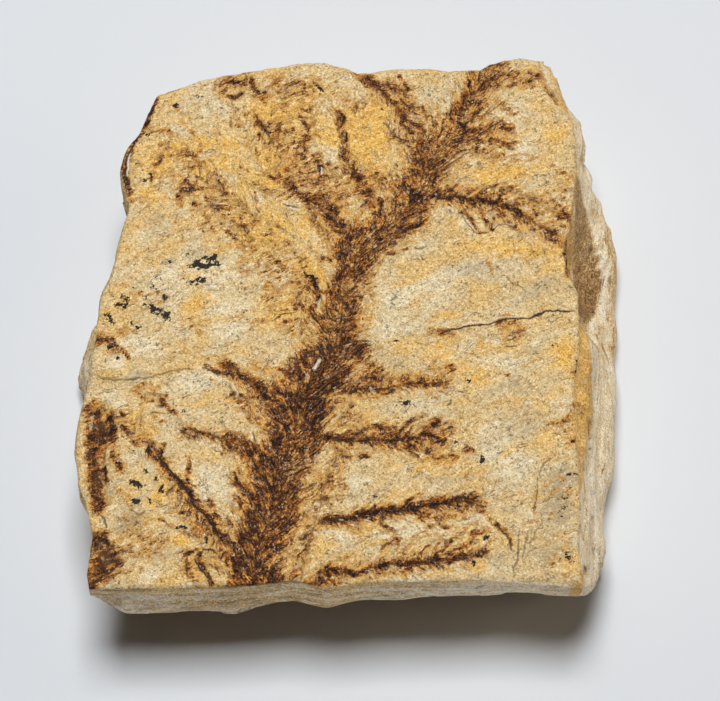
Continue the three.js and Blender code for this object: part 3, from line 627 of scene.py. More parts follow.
# Orange-brown rust, as (strength, half width, points)
rustMarks = [
    (0.9, 1, [(-20.3, -36), (-19, -39)]), (0.9, 0.8, [(-20.9, -41), (-20.7, -44.5)]),
    (0.9, 0.9, [(-12, -42.5), (-10, -43), (-8.5, -41.5)]),
    (0.9, 1, [(-13.5, -49.5), (-11.5, -48), (-10, -46.5)]), (0.9, 0.8, [(-15.5, -55), (-14, -52)]),
    (0.6, 0.9, [(-21, -57), (-16.5, -57.5)]), (0.8, 0.6, [(-24.5, -50), (-24, -52)]),
    (0.9, 1.5, [(-19, -12), (-15, -14), (-12, -16.5)]),
    (0.8, 1.2, [(-20.8, -22), (-19, -24), (-17.5, -25)]), (0.7, 1, [(-17.5, -26), (-17, -30)]),
    (0.9, 1.6, [(0, -11), (2, -13.5)]), (0.9, 0.4, [(-2, -19), (5, -19.5), (8, -19.2)]),
    (0.9, 0.9, [(-3, -25.5), (2, -25), (5, -26.5)]), (0.7, 0.5, [(-5, -29.8), (1, -30.2), (6, -30.3)]),
    (0.8, 0.9, [(-4, -32.5), (-1, -34.5)]), (0.9, 0.5, [(-24.5, -31.5), (-22, -32.3), (-19.5, -32.8)]),
    (0.9, 0.6, [(11.5, -15.5), (12.5, -14.8), (14, -14), (15.5, -14.5)]),
    (0.8, 0.3, [(8, -17), (9.5, -16.5), (11, -16.5)]), (0.8, 0.25, [(15, -15.8), (17, -16), (19.5, -16.8)]),
    (0.9, 0.35, [(15, -18), (16.5, -18.5), (17.5, -19)]),
    (0.8, 0.6, [(16.5, -12.8), (18, -12.3), (19.5, -13.3)]), (0.95, 1, [(17, -26.5), (18.5, -27.2)]),
    (0.8, 0.25, [(17.5, -25.3), (19.5, -24.8), (21, -24.3)]),
    (0.8, 0.25, [(15, -29), (16.5, -30.3), (17.5, -31.5), (19, -32), (20.5, -32), (21.5, -31.3)]),
    (0.7, 0.6, [(22.7, -35.7), (24, -35)]), (0.9, 0.6, [(31.2, -4), (33, -4.3), (34.4, -4.2)]),
    (0.9, 0.5, [(31, -5), (30.7, -6)]), (0.6, 0.9, [(26, -6.5), (26.3, -8.5)]),
    (0.6, 0.3, [(33, -13.3), (35, -12.5), (37, -11.5)]), (0.7, 0.5, [(44.4, -12.3), (44.3, -14)]),
    (0.6, 0.4, [(31.5, -6.8), (33.8, -7)]), (0.8, 0.4, [(-34, -1.5), (-32, -3.2)]),
    (0.8, 0.4, [(-28, -15.3), (-26.5, -16.5), (-25.5, -17)]),
    (0.8, 0.25, [(-42.5, -16.5), (-40.5, -16.8), (-38, -16.8)]),
    (0.7, 0.7, [(-44, -23.5), (-42.8, -24.5), (-42, -26)]), (0.8, 0.7, [(-41.5, -26.5), (-40.7, -28)]),
    (0.6, 0.3, [(-45.5, -38.5), (-44, -39.5), (-43, -41), (-42.8, -42)]),
    (0.9, 0.9, [(-30.5, -54), (-29.8, -56.5), (-28.5, -57.5)]), (0.7, 0.5, [(-42, 3.8), (-43.5, 3)]),
    (0.6, 0.8, [(-46.7, 5.5), (-45.5, 5)]), (0.6, 0.7, [(-36, 21), (-35.5, 18.5), (-34, 17.5)]),
    (0.7, 0.5, [(-45.5, 24.6), (-42.5, 25), (-40.3, 24.8)]),
    (0.7, 0.3, [(-36.5, 46.5), (-35, 43), (-33, 40), (-31.5, 38.5)]),
    (0.7, 0.4, [(-35.5, 29), (-34.8, 30.8)]), (0.8, 0.6, [(-28, 51), (-26, 50)]),
    (0.7, 0.6, [(-9, 43), (-7.7, 43.6)]), (0.6, 0.3, [(-14.5, 47.5), (-13, 45), (-12, 43.5)]),
    (0.7, 0.8, [(-12.5, 36), (-13.5, 32)]), (0.6, 1, [(-10, 33), (-9, 30.5)]),
    (0.8, 0.7, [(-3.5, 30), (-2.5, 27), (-2, 24)]), (0.8, 1, [(2, 20), (5, 18.5)]),
    (0.7, 0.8, [(-5, 15.5), (-3, 13.2)]), (0.9, 0.5, [(8.3, 13.2), (10, 12.7)]),
    (0.8, 0.8, [(20.5, 38.5), (21.3, 42), (21.5, 44)]), (0.8, 0.4, [(25.7, 47), (25.2, 44.5)]),
    (0.8, 0.9, [(29.5, 40.2), (32.5, 39.8)]), (0.6, 0.25, [(33, 35), (36, 35)]),
    (0.7, 0.3, [(3.2, 45.7), (4.6, 44.9)]), (0.7, 0.4, [(25.5, 26.6), (29, 28)]),
    (0.7, 1, [(35.5, 23), (37.5, 20.5), (39, 18.5)]), (0.8, 0.4, [(34, 19), (36, 19), (38, 17.8)]),
    (0.6, 0.7, [(38.5, 27), (38.9, 25.7)]), (0.7, 0.6, [(16, 24), (17, 22)]),
    (0.7, 0.8, [(19, 24), (23, 23.5)]), (0.7, 0.5, [(14, -40.5), (18, -40), (21, -39.2)]),
    (0.7, 0.25, [(12.5, -44.5), (14, -45.5), (15, -46.8)]),
    (0.7, 0.2, [(20.5, -43.5), (22, -44.5), (23.5, -46)]),
    (0.7, 0.25, [(22.5, -49.5), (25, -47.5), (27, -46.3)]),
    (0.7, 0.2, [(12.5, -49.7), (14, -48.5), (16, -47.8), (17.5, -48)]),
    (0.8, 0.35, [(-3, -54.5), (1, -54.6), (5.5, -54)]), (0.9, 0.5, [(-3, -57.2), (-1.7, -57.9)]),
    (0.7, 0.25, [(5.5, -54), (6, -52.5), (7, -51), (8.5, -49.7)]),
    (0.6, 0.3, [(0, -46), (2, -46.3), (4.5, -47.5)]), (0.7, 0.4, [(36.3, -39.5), (36, -43), (35.8, -45)]),
    (0.8, 0.9, [(-48.9, -29), (-48.5, -33)]), (0.8, 0.8, [(-50.5, -54), (-49.5, -57.5)]),
    (0.8, 0.6, [(-51.5, -21), (-49.3, -20.6), (-48.2, -21.8)]),
]

# Fresh pale flakes, as (strength, half width, points)
flakeMarks = [
    (1, 0.35, [(-6.2, -10.4), (-7, -12), (-7.5, -12.8)]), (1, 0.5, [(-8.9, -14.2), (-8.7, -15)]),
    (0.9, 0.45, [(3.6, -17.4), (4.1, -17.8)]), (0.8, 0.4, [(-7, -31.2), (-7, -33)]),
    (1, 0.4, [(-29.2, -58.2), (-27.6, -58.6)]), (0.8, 0.5, [(-37.6, -54), (-36.4, -54)]),
    (0.7, 0.4, [(-39.7, -55.6), (-39.3, -56.4)]), (0.9, 0.35, [(-32.6, -22.3), (-31.8, -22.7)]),
    (0.7, 0.8, [(43.2, -48.8), (43.8, -50.5)]), (0.8, 0.35, [(-6.3, 3.4), (-6.1, 1.6)]),
    (0.8, 0.3, [(4.6, 14.3), (4.7, 14)]), (0.8, 0.6, [(20.3, 49), (20.7, 47)]),
    (0.6, 0.5, [(18, 46), (17.6, 44)]), (0.7, 0.6, [(29.5, 21.8), (28.6, 21)]),
    (0.7, 0.7, [(22.7, 20), (24, 18.7)]), (0.6, 0.6, [(31.3, 19.3), (32.8, 19)]),
    (0.6, 0.8, [(-9.4, 27), (-9.2, 26.4)]), (0.5, 1, [(-3.7, 37), (-3.4, 34.5)]),
    (0.7, 0.3, [(-46, 34.5), (-45.8, 33)]), (0.5, 1.2, [(-43.7, 38), (-43.6, 36.5)]),
    (0.6, 1, [(4, -48), (7, -48.7)]), (0.5, 0.9, [(11.5, -46.8), (13.5, -47.3)]),
    (0.9, 0.3, [(-51.3, -22.5), (-51.2, -26)]), (0.5, 1.2, [(-47.7, -11.5), (-47, -12.8)]),
]

# Soft ovals of tint, as (x, y, half width, half height, turn, strength)
ochreWashes = [
    (1, 41, 10, 9, 20, 1.2), (-16, 46, 14, 7, -5, 0.7), (-28, 35, 11, 8, 20, 0.6),
    (-15, 29, 8, 6, -20, 0.7), (-19, 18, 10, 6, -30, 0.8), (5, 32, 7, 10, 0, 0.6), (-5, 22, 8, 9, 0, 0.8),
    (-9, 6, 7, 12, 0, 0.7), (-14, -1, 8, 5, 0, 0.5), (-26, -5, 9, 4, -20, 0.3), (-38, 38, 6, 9, 0, 0.5),
    (-42, 26, 6, 4, 0, 0.6), (-43, 17, 6, 6, 0, 0.4), (-43, 3, 6, 4, -10, 0.7), (-33, 1, 5, 4, -30, 0.6),
    (31, 31, 12, 4, 0, 0.9), (35, 13, 10, 4, 5, 0.8), (26, 14, 6, 3, 0, 0.6), (42, 40, 5, 8, 0, 0.5),
    (39, 48, 5, 8, 0, 0.4), (17, -10, 10, 5, 5, 0.45), (29, -8, 7, 4, 0, 0.5), (43, -10, 4, 7, 0, 0.7),
    (26, -15, 7, 5, 0, 0.4), (38, -27, 6, 4, 0, 0.6), (-37, -40, 5, 5, 0, 0.8), (-33, -50, 7, 3, 0, 0.9),
    (-43, -39, 3, 4, 0, 0.5), (-30, -55, 5, 4, 0, 0.6), (5, -24, 9, 5, 0, 0.4), (22, -25, 7, 4, 0, 0.35),
    (14, -33, 12, 4, 0, 0.4), (22, -47, 6, 3, 0, 0.5), (24, -55, 6, 2, 0, 0.6), (9, -51, 8, 3, 0, 0.1),
    (-29.8, -55, 1.6, 3, 0, 1.1),
    (-28, -11, 6, 4, -30, 0.5), (-40, -25, 6, 6, -40, 0.4), (-6, -52, 5, 6, 0, 0.2),
    (44, -22, 2, 12, 0, 0.5), (12, 48, 6, 8, 0, 0.5), (20, -1.5, 8, 2, 10, 0.5),
    (-19, 30, 14, 10, 20, 0.35), (-26, 20, 20, 14, 0, 0.5), (-14, 38, 26, 18, 0, 0.5),
    (-36, 33, 12, 14, 0, 0.35), (34, 30, 14, 10, 0, 0.3), (-10, 18, 14, 10, 0, 0.3),
    (40, 10, 10, 12, 0, 0.25), (4, 44, 10, 12, 0, 0.5),
]
# Crumbs of iron strewn over an oval: middle, half lengths, slope and count
crumbFields = [
    (-24, 20, 13, 6, -46, 60), (-36, 31, 9, 6, -50, 26), (-13, 6, 4, 9, -10, 30), (-12, 50, 14, 4, -25, 26),
    (32, 24, 9, 4, -18, 16), (-8, 32, 5, 9, -15, 22), (-20, 38, 8, 5, -60, 18), (-40, -21, 5, 3, -40, 14),
]
creamWashes = [
    (-27, 8, 10, 8, 0, 0.9), (-24, -1, 9, 7, 0, 1), (-36, 8, 8, 6, 0, 0.8), (11, 3, 13, 7, 5, 0.9),
    (20, 6, 8, 6, 0, 0.6), (9, -4, 8, 3, 0, 0.8), (-30, -16, 9, 7, 0, 0.8), (-40, -8, 10, 5, 0, 0.9),
    (-47, -12, 3, 3, 0, 0.9), (-27, -38, 6, 7, -35, 1), (-23, -44, 3, 4, 0, 0.8), (-36, -28, 7, 4, 0, 0.6),
    (-44, -21, 5, 3, 0, 0.7), (6, -48, 9, 3, 8, 1.1), (14, -47, 7, 2.5, 5, 0.9),
    (24, -45, 6, 2.5, -20, 1.1), (0, -37, 9, 4, 0, 0.6), (32, -33, 9, 5, 0, 0.9), (28, -28, 8, 6, 0, 0.5),
    (38, -21, 8, 4, 0, 0.7), (30, -12, 9, 3, 0, 0.6), (-30, 46, 6, 4, 0, 0.5), (-26, 38, 5, 4, 0, 0.5),
    (34, 45, 6, 5, 0, 0.8), (36, 38, 6, 4, 0, 0.6), (29, 21, 6, 3, -20, 0.7), (23, 19, 4, 3, -30, 0.9),
    (20, 46, 2, 5, 0, 0.9), (-4, 36, 3, 4, 0, 0.9), (-37, -57, 6, 3, 0, 0.6), (16, -21, 5, 3, 0, 0.4),
    (44, -49, 2, 4, 0, 0.9), (-48, -47, 2, 4, 0, 0.6), (28, 8, 10, 4, 0, 0.4), (-7, -42, 3, 5, 0, 0.6),
    (-2, -49, 6, 3.5, 0, 1), (13, -57, 8, 2, 0, 0.5), (20, -19, 6, 2, 0, 0.5),
]
greyWashes = [
    (41, -40, 5.5, 9, -8, 1.3), (39, -52, 6, 8, 0, 0.9), (34, -23, 8, 9, 0, 0.5), (40, 6, 7, 9, 0, 0.6),
    (30, 6, 12, 5, -20, 0.45), (24, 8, 7, 4, 0, 0.5), (42, 24, 4, 4, 0, 0.6), (-43, -46, 5, 4, 0, 1.2),
    (-37, -52, 7, 3, 0, 0.8), (-37, -33, 5, 4, -45, 0.6), (-29, -25, 8, 2.5, 0, 0.4),
    (9, -11, 6, 4, 15, 0.5), (24, -42, 6, 2, 0, 0.4), (20, -36, 10, 3, 0, 0.5), (32, -16.5, 3.5, 2, 0, 0.8),
    # The first oval on the next line, at (-42, -14), is painted shade: the dark band above the left crack's
    # ledge
    (-42, -14, 6, 1.6, 0, 0.8), (-34, 47, 4, 3, 0, 0.4), (-41, 21, 4, 3, 0, 0.5), (-29, 13, 7, 3, 0, 0.4),
    (-44, 0, 5, 3, 0, 0.4), (37, -9, 4, 2, 0, 0.6), (32, 50, 4, 3, 0, 0.3), (29, -53, 4, 4, 0, 0.5),
    (-22, -18, 2, 3, 0, 0.5), (14, 9, 10, 2, 0, 0.3), (-4, 6, 3, 4, 0, 0.8),
]
# Painted shade in the left-edge groove and the lower-left pit, as soft ovals
hollowShadeWashes = [
    (-49.6, -25, 2.2, 6, 4, 0.5), (-50, -36, 1.6, 7, 3, 0.5), (-47, -53, 4, 5.5, 0, 0.55),
]

left = np.interp(wanderY, [row[0] for row in stem], [row[1] for row in stem])
right = np.interp(wanderY, [row[0] for row in stem], [row[2] for row in stem])
dark = np.interp(wanderY, [row[0] for row in stem], [row[3] for row in stem])
inside = np.minimum(wanderX - left, right - wanderX)
off = wanderX - 0.5 * (left + right)
clumps = 0.13 * rough(wanderX * 1.4, wanderY, 5.0, 3, 63)
fringe = np.interp(inside, [-4.0, -1.6, -0.4, 1.0], [0.0, 0.26, 0.56, 1.0])
iron = (dark + 0.10 * ease(10, -15, wanderY) + 0.04 + clumps) * fringe
swerve = np.abs(off + 1.2 * speckle(wanderX, wanderY, 7.0, 65))
needleAcross = 0.8 * swerve + 2.8 * (1 - np.exp(-swerve / 2.5)) - 0.8 * wanderY + 60 * (off > 0)
needleAlong = 0.5 * swerve + wanderY
claimGrain(np.ones(len(faceX), bool), np.clip(1.2 + inside / 4.5, 0, 1), needleAcross, needleAlong)
relief -= 0.25 * ease(-1.5, 2.5, inside)

knot = np.random.default_rng(31)


def knots(points, spacing, width, level):
    # Clots of uneven size strung along a twig, each a short stroke a little off its line.
    curve = bend(points, 8)
    length = runLength(curve)
    for place in np.arange(0, length[-1], spacing) + knot.uniform(-0.5, 0.5) * spacing:
        x, y = (np.interp([place, place + knot.uniform(0.6, 1.6)], length, curve[:, axis]) for axis in (0, 1))
        shift = knot.uniform(-0.6, 0.6, 2) * width
        stroke = [(x[0] + shift[0], y[0] + shift[1]), (x[1] + shift[0], y[1] + shift[1])]
        stain(iron, level * knot.uniform(0.5, 1.05), 0.3 * width, stroke, edge=width * knot.uniform(0.3, 1.2))


for level, width, reach, lean, power, spacing, size, share, points in twigs:
    stain(iron, 1.08 * level, 0.3 * width, points, edge=0.55 + 0.75 * width)
    imprint(points, reach, lean, power)
    knots(points, 1.3, 0.55 + 0.5 * width, level)
for level, width, points in strands:
    stain(iron, 1.08 * level, 0.3 * width, points, edge=0.55 + 0.75 * width)
for level, width, points in bodies:
    stain(iron, level, 0.55 * width, points, edge=1.1 + 0.5 * width)
for level, width, points in clots:
    stain(iron, 1.08 * level, 0.3 * width, points, edge=0.4 + 0.7 * width)

imprint([(0, 30), (-2, 40), (-4, 50)], 7.0, 35, 0.7)
imprint([(-18, 30), (-22, 40), (-26, 50)], 7.0, 35, 0.6)
imprint([(-8, 14), (-20, 22), (-34, 32)], 7.0, 35, 0.6)

pick = np.random.default_rng(23)


def needles(points, spacing, size, lean, level, height, sides=(-1, 1)):
    # Short needles leaving a line at a steady spacing, leaning toward its tip and curling in a little.
    curve = bend(points, 8)
    length = runLength(curve)
    for place in np.arange(spacing, length[-1], spacing):
        for side in sides:
            spot = place + pick.uniform(-0.45, 0.45) * spacing
            x = np.interp(spot, length, curve[:, 0])
            y = np.interp(spot, length, curve[:, 1])
            aheadX = np.interp(spot + 0.5, length, curve[:, 0]) - x
            aheadY = np.interp(spot + 0.5, length, curve[:, 1]) - y
            turn = math.atan2(aheadY, aheadX) + side * math.radians(lean + pick.uniform(-12, 12))
            reach = size * pick.uniform(0.35, 1.15)
            bow = turn - side * math.radians(pick.uniform(5, 25))
            middle = (x + 0.55 * reach * math.cos(turn), y + 0.55 * reach * math.sin(turn))
            tip = (middle[0] + 0.45 * reach * math.cos(bow), middle[1] + 0.45 * reach * math.sin(bow))
            stain(iron, level * pick.uniform(0.3, 1.2), 0.0, [(x, y), middle, tip], edge=0.6, point=0.7)
            bulge(height * pick.uniform(0.3, 1.3), 0.3, [(x, y), middle, tip])


stemLeft = [(row[1] + 1.0, row[0]) for row in stem]
stemRight = [(row[2] - 1.0, row[0]) for row in stem]
needles(stemLeft, 1.1, 5.0, 38, 0.6, 0.0, sides=(1,))
needles(stemRight, 1.1, 5.0, 38, 0.6, 0.0, sides=(-1,))
for level, width, reach, lean, power, spacing, size, share, points in twigs:
    needles(points, spacing, size, lean, share, 0.12)
grainPower = np.clip(grainPower - 0.8 * rivalPower, 0, 1)

for level, width, points in inkMarks:
    stain(ink, level, 0.5 * width, points, edge=0.35 + 0.4 * width)
for field, marks in ((rust, rustMarks), (flake, flakeMarks)):
    for level, width, points in marks:
        stain(field, level, 0.32 * width, points, edge=0.35 + 0.45 * width)
iron = np.maximum(iron, 0.55 * rust)

# Crumbs: short strokes strewn over ovals, each within 30 degrees of its oval's slope
strew = np.random.default_rng(47)
for x, y, wide, tall, turn, many in crumbFields:
    slope = math.radians(turn)
    for _ in range(many):
        u, v = strew.uniform(-1, 1, 2) * (wide, tall)
        start = (x + u * math.cos(slope) - v * math.sin(slope), y + u * math.sin(slope) + v * math.cos(slope))
        lie = slope + math.radians(strew.uniform(-30, 30))
        size = strew.uniform(0.4, 2.2)
        stroke = [start, (start[0] + size * math.cos(lie), start[1] + size * math.sin(lie))]
        stain(iron, strew.uniform(0.22, 0.52), 0.05, stroke, edge=strew.uniform(0.35, 0.9))
iron *= 1 - 0.24 * ease(13, 19, faceX) * ease(-48, -45, faceY) * ease(-37, -39, faceY)
for channel, power, points in hairlines:
    thinLine(channel, power, points)
for field, washes in ((ochre, ochreWashes), (cream, creamWashes), (grey, greyWashes), (shadeAndDirt, hollowShadeWashes)):
    for x, y, wide, tall, turn, level in washes:
        wash(field, level, x, y, wide, tall, turn)

# Speckled iron in the stone itself
wash(ink, 0.24, 41.5, -42, 4, 8)
wash(ink, 0.2, 41, -53, 5, 4)
wash(ink, 0.12, -43, -47, 5, 4)
wash(ink, 0.2, -47.5, -53, 3.5, 5)
for x, y, wide, tall, turn, level in mottles:
    oval = np.zeros(len(faceX))
    wash(oval, 1.0, x, y, wide, tall, turn)
    grain = 0.8 + 1.0 * rough(faceX, faceY, 1.1, 3, 71)
    iron += (1 - np.clip(iron / 0.5, 0, 1)) * np.clip(level * np.clip(oval * 1.6, 0, 1) * grain, 0, 0.26)
iron = np.clip(iron, 0, 1.05)

# Steps and scars of the split bed
ledge(0.5, 0.35, 5.0, [(-53, -13.5), (-49, -15), (-40, -15), (-37, -13.5), (-32.5, -13.5), (-30.5, -12)])
ledge(0.3, 0.3, 4.0, [(-10, -9.5), (-5.5, -9), (0, -9), (5, -7.5)])
ledge(0.25, 0.3, 6.0, [(18.5, -4.5), (22.5, -4), (25.5, -3.5), (30, -3), (34, -2), (39.5, -0.5), (46, -0.5)])
ledge(-0.45, 0.3, 8.0, [(20, 21), (21.5, 19), (24.5, 17.5), (28.5, 16.5), (33, 17.5), (37, 17.5), (40, 15.5),
                        (46, 15)])
ledge(0.4, 0.4, 4.0, [(-25, -15.5), (-23.5, -17), (-23, -19), (-21.5, -21.5), (-19.5, -24), (-19, -26.5)])
bulge(-1.9, 2.0, [(-49, -20), (-48.5, -25.5), (-49, -30), (-49, -34.5), (-49, -39.5), (-48.5, -43)])
bulge(0.7, 0.35, [(-49.8, -21), (-50, -28), (-49.4, -36), (-49, -42)])
bulge(0.6, 0.3, [(-47.8, -21), (-47.6, -28), (-48.2, -36)])
bulge(-1.5, 2.4, [(-48, -50), (-46.5, -53.5), (-46.5, -57)])
bulge(-0.3, 3.0, [(-44, -42), (-43, -46), (-44, -50)])
bulge(-0.4, 0.6, [(-40.5, 48), (-43.5, 41), (-46, 34), (-45.5, 26.5)])
relief += 0.16 * rough(faceX, faceY, 9, 2, 81) + 0.10 * rough(faceX, faceY, 2.6, 4, 85)
terrace = 2.4 * rough(faceX + 0.6 * faceY, 1.6 * faceY, 15, 4, 87)
relief += 0.26 * (np.floor(terrace) + ease(0, 0.18, terrace - np.floor(terrace))) - 0.1 * terrace
print("marks drawn")


def swell(x, y):
    # Two crossed sine waves and a slanting one: the split bed's own rise and dip.
    cross = np.sin(x / 19 + 0.6) * np.cos(y / 23 - 0.4)
    return block["thickness"] + block["swell"] * (cross + 0.5 * np.sin((x + y) / 13))


s = np.tile(np.linspace(0, 1, across + 1), up + 1)
t = np.repeat(np.linspace(0, 1, up + 1), across + 1)
fromRim = np.minimum(np.minimum(s, 1 - s) * block["faceAcross"], np.minimum(t, 1 - t) * block["faceUp"])
worn = block["wornRim"] * np.clip(1 - fromRim / 0.9, 0, 1) ** 2
faceZ = swell(faceX, faceY) + relief - worn
face = np.stack([faceX, faceY, faceZ], axis=1)

number = np.arange((across + 1) * (up + 1)).reshape(up + 1, across + 1)
rimRing = np.concatenate([number[0, :-1], number[:-1, -1], number[-1, :0:-1], number[:0:-1, 0]])

points = [face]
rings = [rimRing]
count = len(face)
heights = np.linspace(block["topLevel"], 0, block["levels"])
arc = rimLength / (rimLength[-1] + 0.4) * 2 * np.pi * 55  # the way round, as on a circle of radius 55

chips = {
    "inRow": 40,  # broken faces in each row round the block, about 9 mm apart
    "rows": 6,
    "rise": 5.4,  # from row to row
    "girth": 345.6,  # way round the block at a radius of 55
    "depth": (-0.8, 0.4),
    "tilt": 0.16,
}
chipCount = chips["inRow"] * chips["rows"]
chip = np.random.default_rng(5)
chipNumber = np.arange(chipCount)
chipArc = (chipNumber % chips["inRow"] + chip.uniform(0, 1, chipCount)) * chips["girth"] / chips["inRow"]
chipLevel = (chipNumber // chips["inRow"] + chip.uniform(0, 1, chipCount)) * chips["rise"] - 1
chipDepth = chip.uniform(*chips["depth"], chipCount)
chipTilt = chip.uniform(-chips["tilt"], chips["tilt"], (chipCount, 2))


def brokenReach(arc, z):
    # Each point lies on the tilted plane of its nearest chip, depth + tilt * (place - middle), and thin
    # beds stand out or back by their own amount.
    halfGirth = chips["girth"] / 2
    da = arc[:, None] + 1.6 * speckle(arc, z, 5, 3)[:, None] - chipArc
    da = (da + halfGirth) % chips["girth"] - halfGirth
    dz = z + 0.8 * speckle(arc, 2 * z, 4, 4)[:, None] - chipLevel
    near = (da ** 2 + 3.2 * dz ** 2).argmin(axis=1)
    row = np.arange(len(arc))
    plane = chipDepth[near] + chipTilt[near, 0] * da[row, near] + 1.5 * chipTilt[near, 1] * dz[row, near]
    bed = 0.34 * speckle(arc / 14, z + 0.8 * speckle(arc, z, 14, 5), 1.5, 91)
    grit = 0.16 * rough(arc, z, 1.6, 3, 97)
    return np.clip(plane + bed + grit - 0.35, -2.2, 0.15)


# The near side and most of the right side broke more evenly than the rest
calm = 1 - 0.72 * ease(-50, -57, rim[:, 1])
calm -= 0.8 * ease(40, 45, rim[:, 0]) * ease(0, 5, rim[:, 1]) * ease(34, 28, rim[:, 1])
calm -= 0.5 * ease(40, 45, rim[:, 0]) * ease(-1, -6, rim[:, 1]) * ease(-38, -30, rim[:, 1])
for height in heights:
    reach = sliceReach(rimTurn, height)
    fade = min(1.0, 0.25 + (block["topLevel"] - height) / 3) * min(1.0, 0.3 + height / 3)
    reach = reach + fade * calm * brokenReach(arc, height)
    rimX = reach * np.cos(rimTurn)
    rimY = reach * np.sin(rimTurn)
    # A scoop in the right flank's far half, and a shelf below the rim in its near half
    scoop = 1.8 * ease(40, 45, rimX) * ease(-4, 2, rimY) * ease(23, 16, rimY)
    shelf = 1.6 * ease(40, 45, rimX) * ease(-1, -6, rimY) * ease(-34, -26, rimY)
    reach = reach - scoop * ease(4, 12, height) * ease(30, 25, height)
    reach = reach + shelf * ease(29, 26.4, height) * ease(18, 24, height)
    ring = [reach * np.cos(rimTurn), reach * np.sin(rimTurn), np.full(around, height)]
    points.append(np.stack(ring, axis=1))
    rings.append(np.arange(count, count + around))
    count += around

cells = [number[:-1, :-1], number[:-1, 1:], number[1:, 1:], number[1:, :-1]]
quads = [np.stack(cells, axis=-1).reshape(-1, 4)]
for upper, lower in zip(rings[:-1], rings[1:]):
    quads.append(np.stack([upper, lower, np.roll(lower, -1), np.roll(upper, -1)], axis=1))

# The underside: two rings of triangles, each halving the count, then a slightly hollow grid
lowestRing = points[-1][:, :2]
halfRing = lowestRing[::2] * 0.975
innerRing = lowestRing[::4] * 0.94
under = patch(innerRing, across // 4, up // 4)
underX = under[..., 0].ravel()
underY = under[..., 1].ravel()
underZ = 0.25 * np.clip(0.4 + rough(underX, underY, 12, 3, 61), 0, 1.5)
points.append(np.stack([halfRing[:, 0], halfRing[:, 1], np.full(len(halfRing), 0.05)], axis=1))
half = np.arange(count, count + len(halfRing))
count += len(halfRing)
points.append(np.stack([underX, underY, underZ], axis=1))
grid = np.arange(count, count + len(underX)).reshape(up // 4 + 1, across // 4 + 1)
quads.append(np.stack([grid[:-1, :-1], grid[1:, :-1], grid[1:, 1:], grid[:-1, 1:]], axis=-1).reshape(-1, 4))
gridRing = np.concatenate([grid[0, :-1], grid[:-1, -1], grid[-1, :0:-1], grid[:0:-1, 0]])


def halving(fine, coarse):
    # Three triangles for each coarse side: two beside the fine side's middle point and one between them.
    first = fine[::2]
    second = fine[1::2]
    third = np.roll(first, -1)
    after = np.roll(coarse, -1)
    parts = [(first, coarse, second), (second, coarse, after), (second, after, third)]
    return np.vstack([np.stack(part, axis=1) for part in parts])


thirds = np.vstack([halving(rings[-1], half), halving(half, gridRing)])
points = np.vstack(points)
quads = np.vstack(quads)
low = np.array(cadBox[0]) / mm
high = np.array(cadBox[1]) / mm
points = np.clip(points, low, high)

mesh = bpy.data.meshes.new("fossil_plate_surface")
mesh.vertices.add(len(points))
mesh.vertices.foreach_set("co", (points * mm).ravel())
mesh.loops.add(quads.size + thirds.size)
mesh.loops.foreach_set("vertex_index", np.concatenate([quads.ravel(), thirds.ravel()]))
mesh.polygons.add(len(quads) + len(thirds))
starts = np.concatenate([4 * np.arange(len(quads)), quads.size + 3 * np.arange(len(thirds))])
mesh.polygons.foreach_set("loop_start", starts)
mesh.update(calc_edges=True)
mesh.validate()
mesh.polygons.foreach_set("use_smooth", np.ones(len(mesh.polygons), bool))
plate = bpy.data.objects.new("fossil_plate_surface", mesh)
bpy.context.scene.collection.objects.link(plate)
print("skin:", len(points), "points,", 2 * len(quads) + len(thirds), "triangles")

# The broken sides: a scoop on the right painted dark as shade over brown stain, pale strips on the right,
# brown patches at the left and the front.
# Each line is a row of (y, x) where a tint stops, or of (x, z) for the foot's painted shade.
sideLines = {
    "scoopEdge": [(0, 47.5), (4, 49.5), (7, 51.3), (11, 52.2), (15, 52.6), (20, 52.2), (24, 51.3),
                  (28, 49.3), (32, 47)],
    "rindEdge": [(-40, 45), (-35, 46.3), (-28, 47.5), (-24, 48.3), (-20, 48.8), (-14, 48.7), (-7, 48.8),
                 (-2, 48.4), (2, 46)],
    "footShadeTop": [(-30, 13), (-10, 17)],
    "footShadeStrength": 0.62,
}
skinX, skinY, skinZ = points[len(faceX):].T
wave = 2.2 * rough(skinY, skinZ, 7, 3, 41)
crumble = rough(skinY, skinZ, 2.2, 3, 49)
rightSide = ease(40, 45, skinX) * ease(0.5, 4, skinZ)
nearSide = ease(-50, -57, skinY)
pastScoop = skinX - np.interp(skinY, *zip(*sideLines["scoopEdge"])) - 0.1 * wave

# The scoop on the right is painted dark as shade in its hollow, over brown stain
scoopShadeAndBrown = rightSide * ease(0, 5, skinY + 0.3 * wave + 1.2 * crumble) * ease(34, 30, skinY)
scoopShadeAndBrown *= ease(0.35, -0.35, pastScoop + 0.45 * crumble) * ease(46, 46.6, skinX)
scoopShadeAndBrown *= 1 - 0.38 * ease(4, 24, skinY + 2 * crumble)
notch = ease(-6, -4.5, skinY) * ease(0.5, -1, skinY) * ease(47.9, 47.5, skinX + 0.2 * wave)
scoopShadeAndBrown += 1.2 * rightSide * notch
scoopShadeAndBrown += 0.25 * ease(-20, -48, skinX) * nearSide
scoopShadeAndBrown += 0.45 * ease(-44, -47, skinX) * ease(20, 26, skinY)
patchy = rough(skinX + skinY, skinY - skinX + 2 * skinZ, 16, 3, 43)
scoopShadeAndBrown += 0.35 * ease(0.2, 0.9, patchy) * (1 - rightSide)

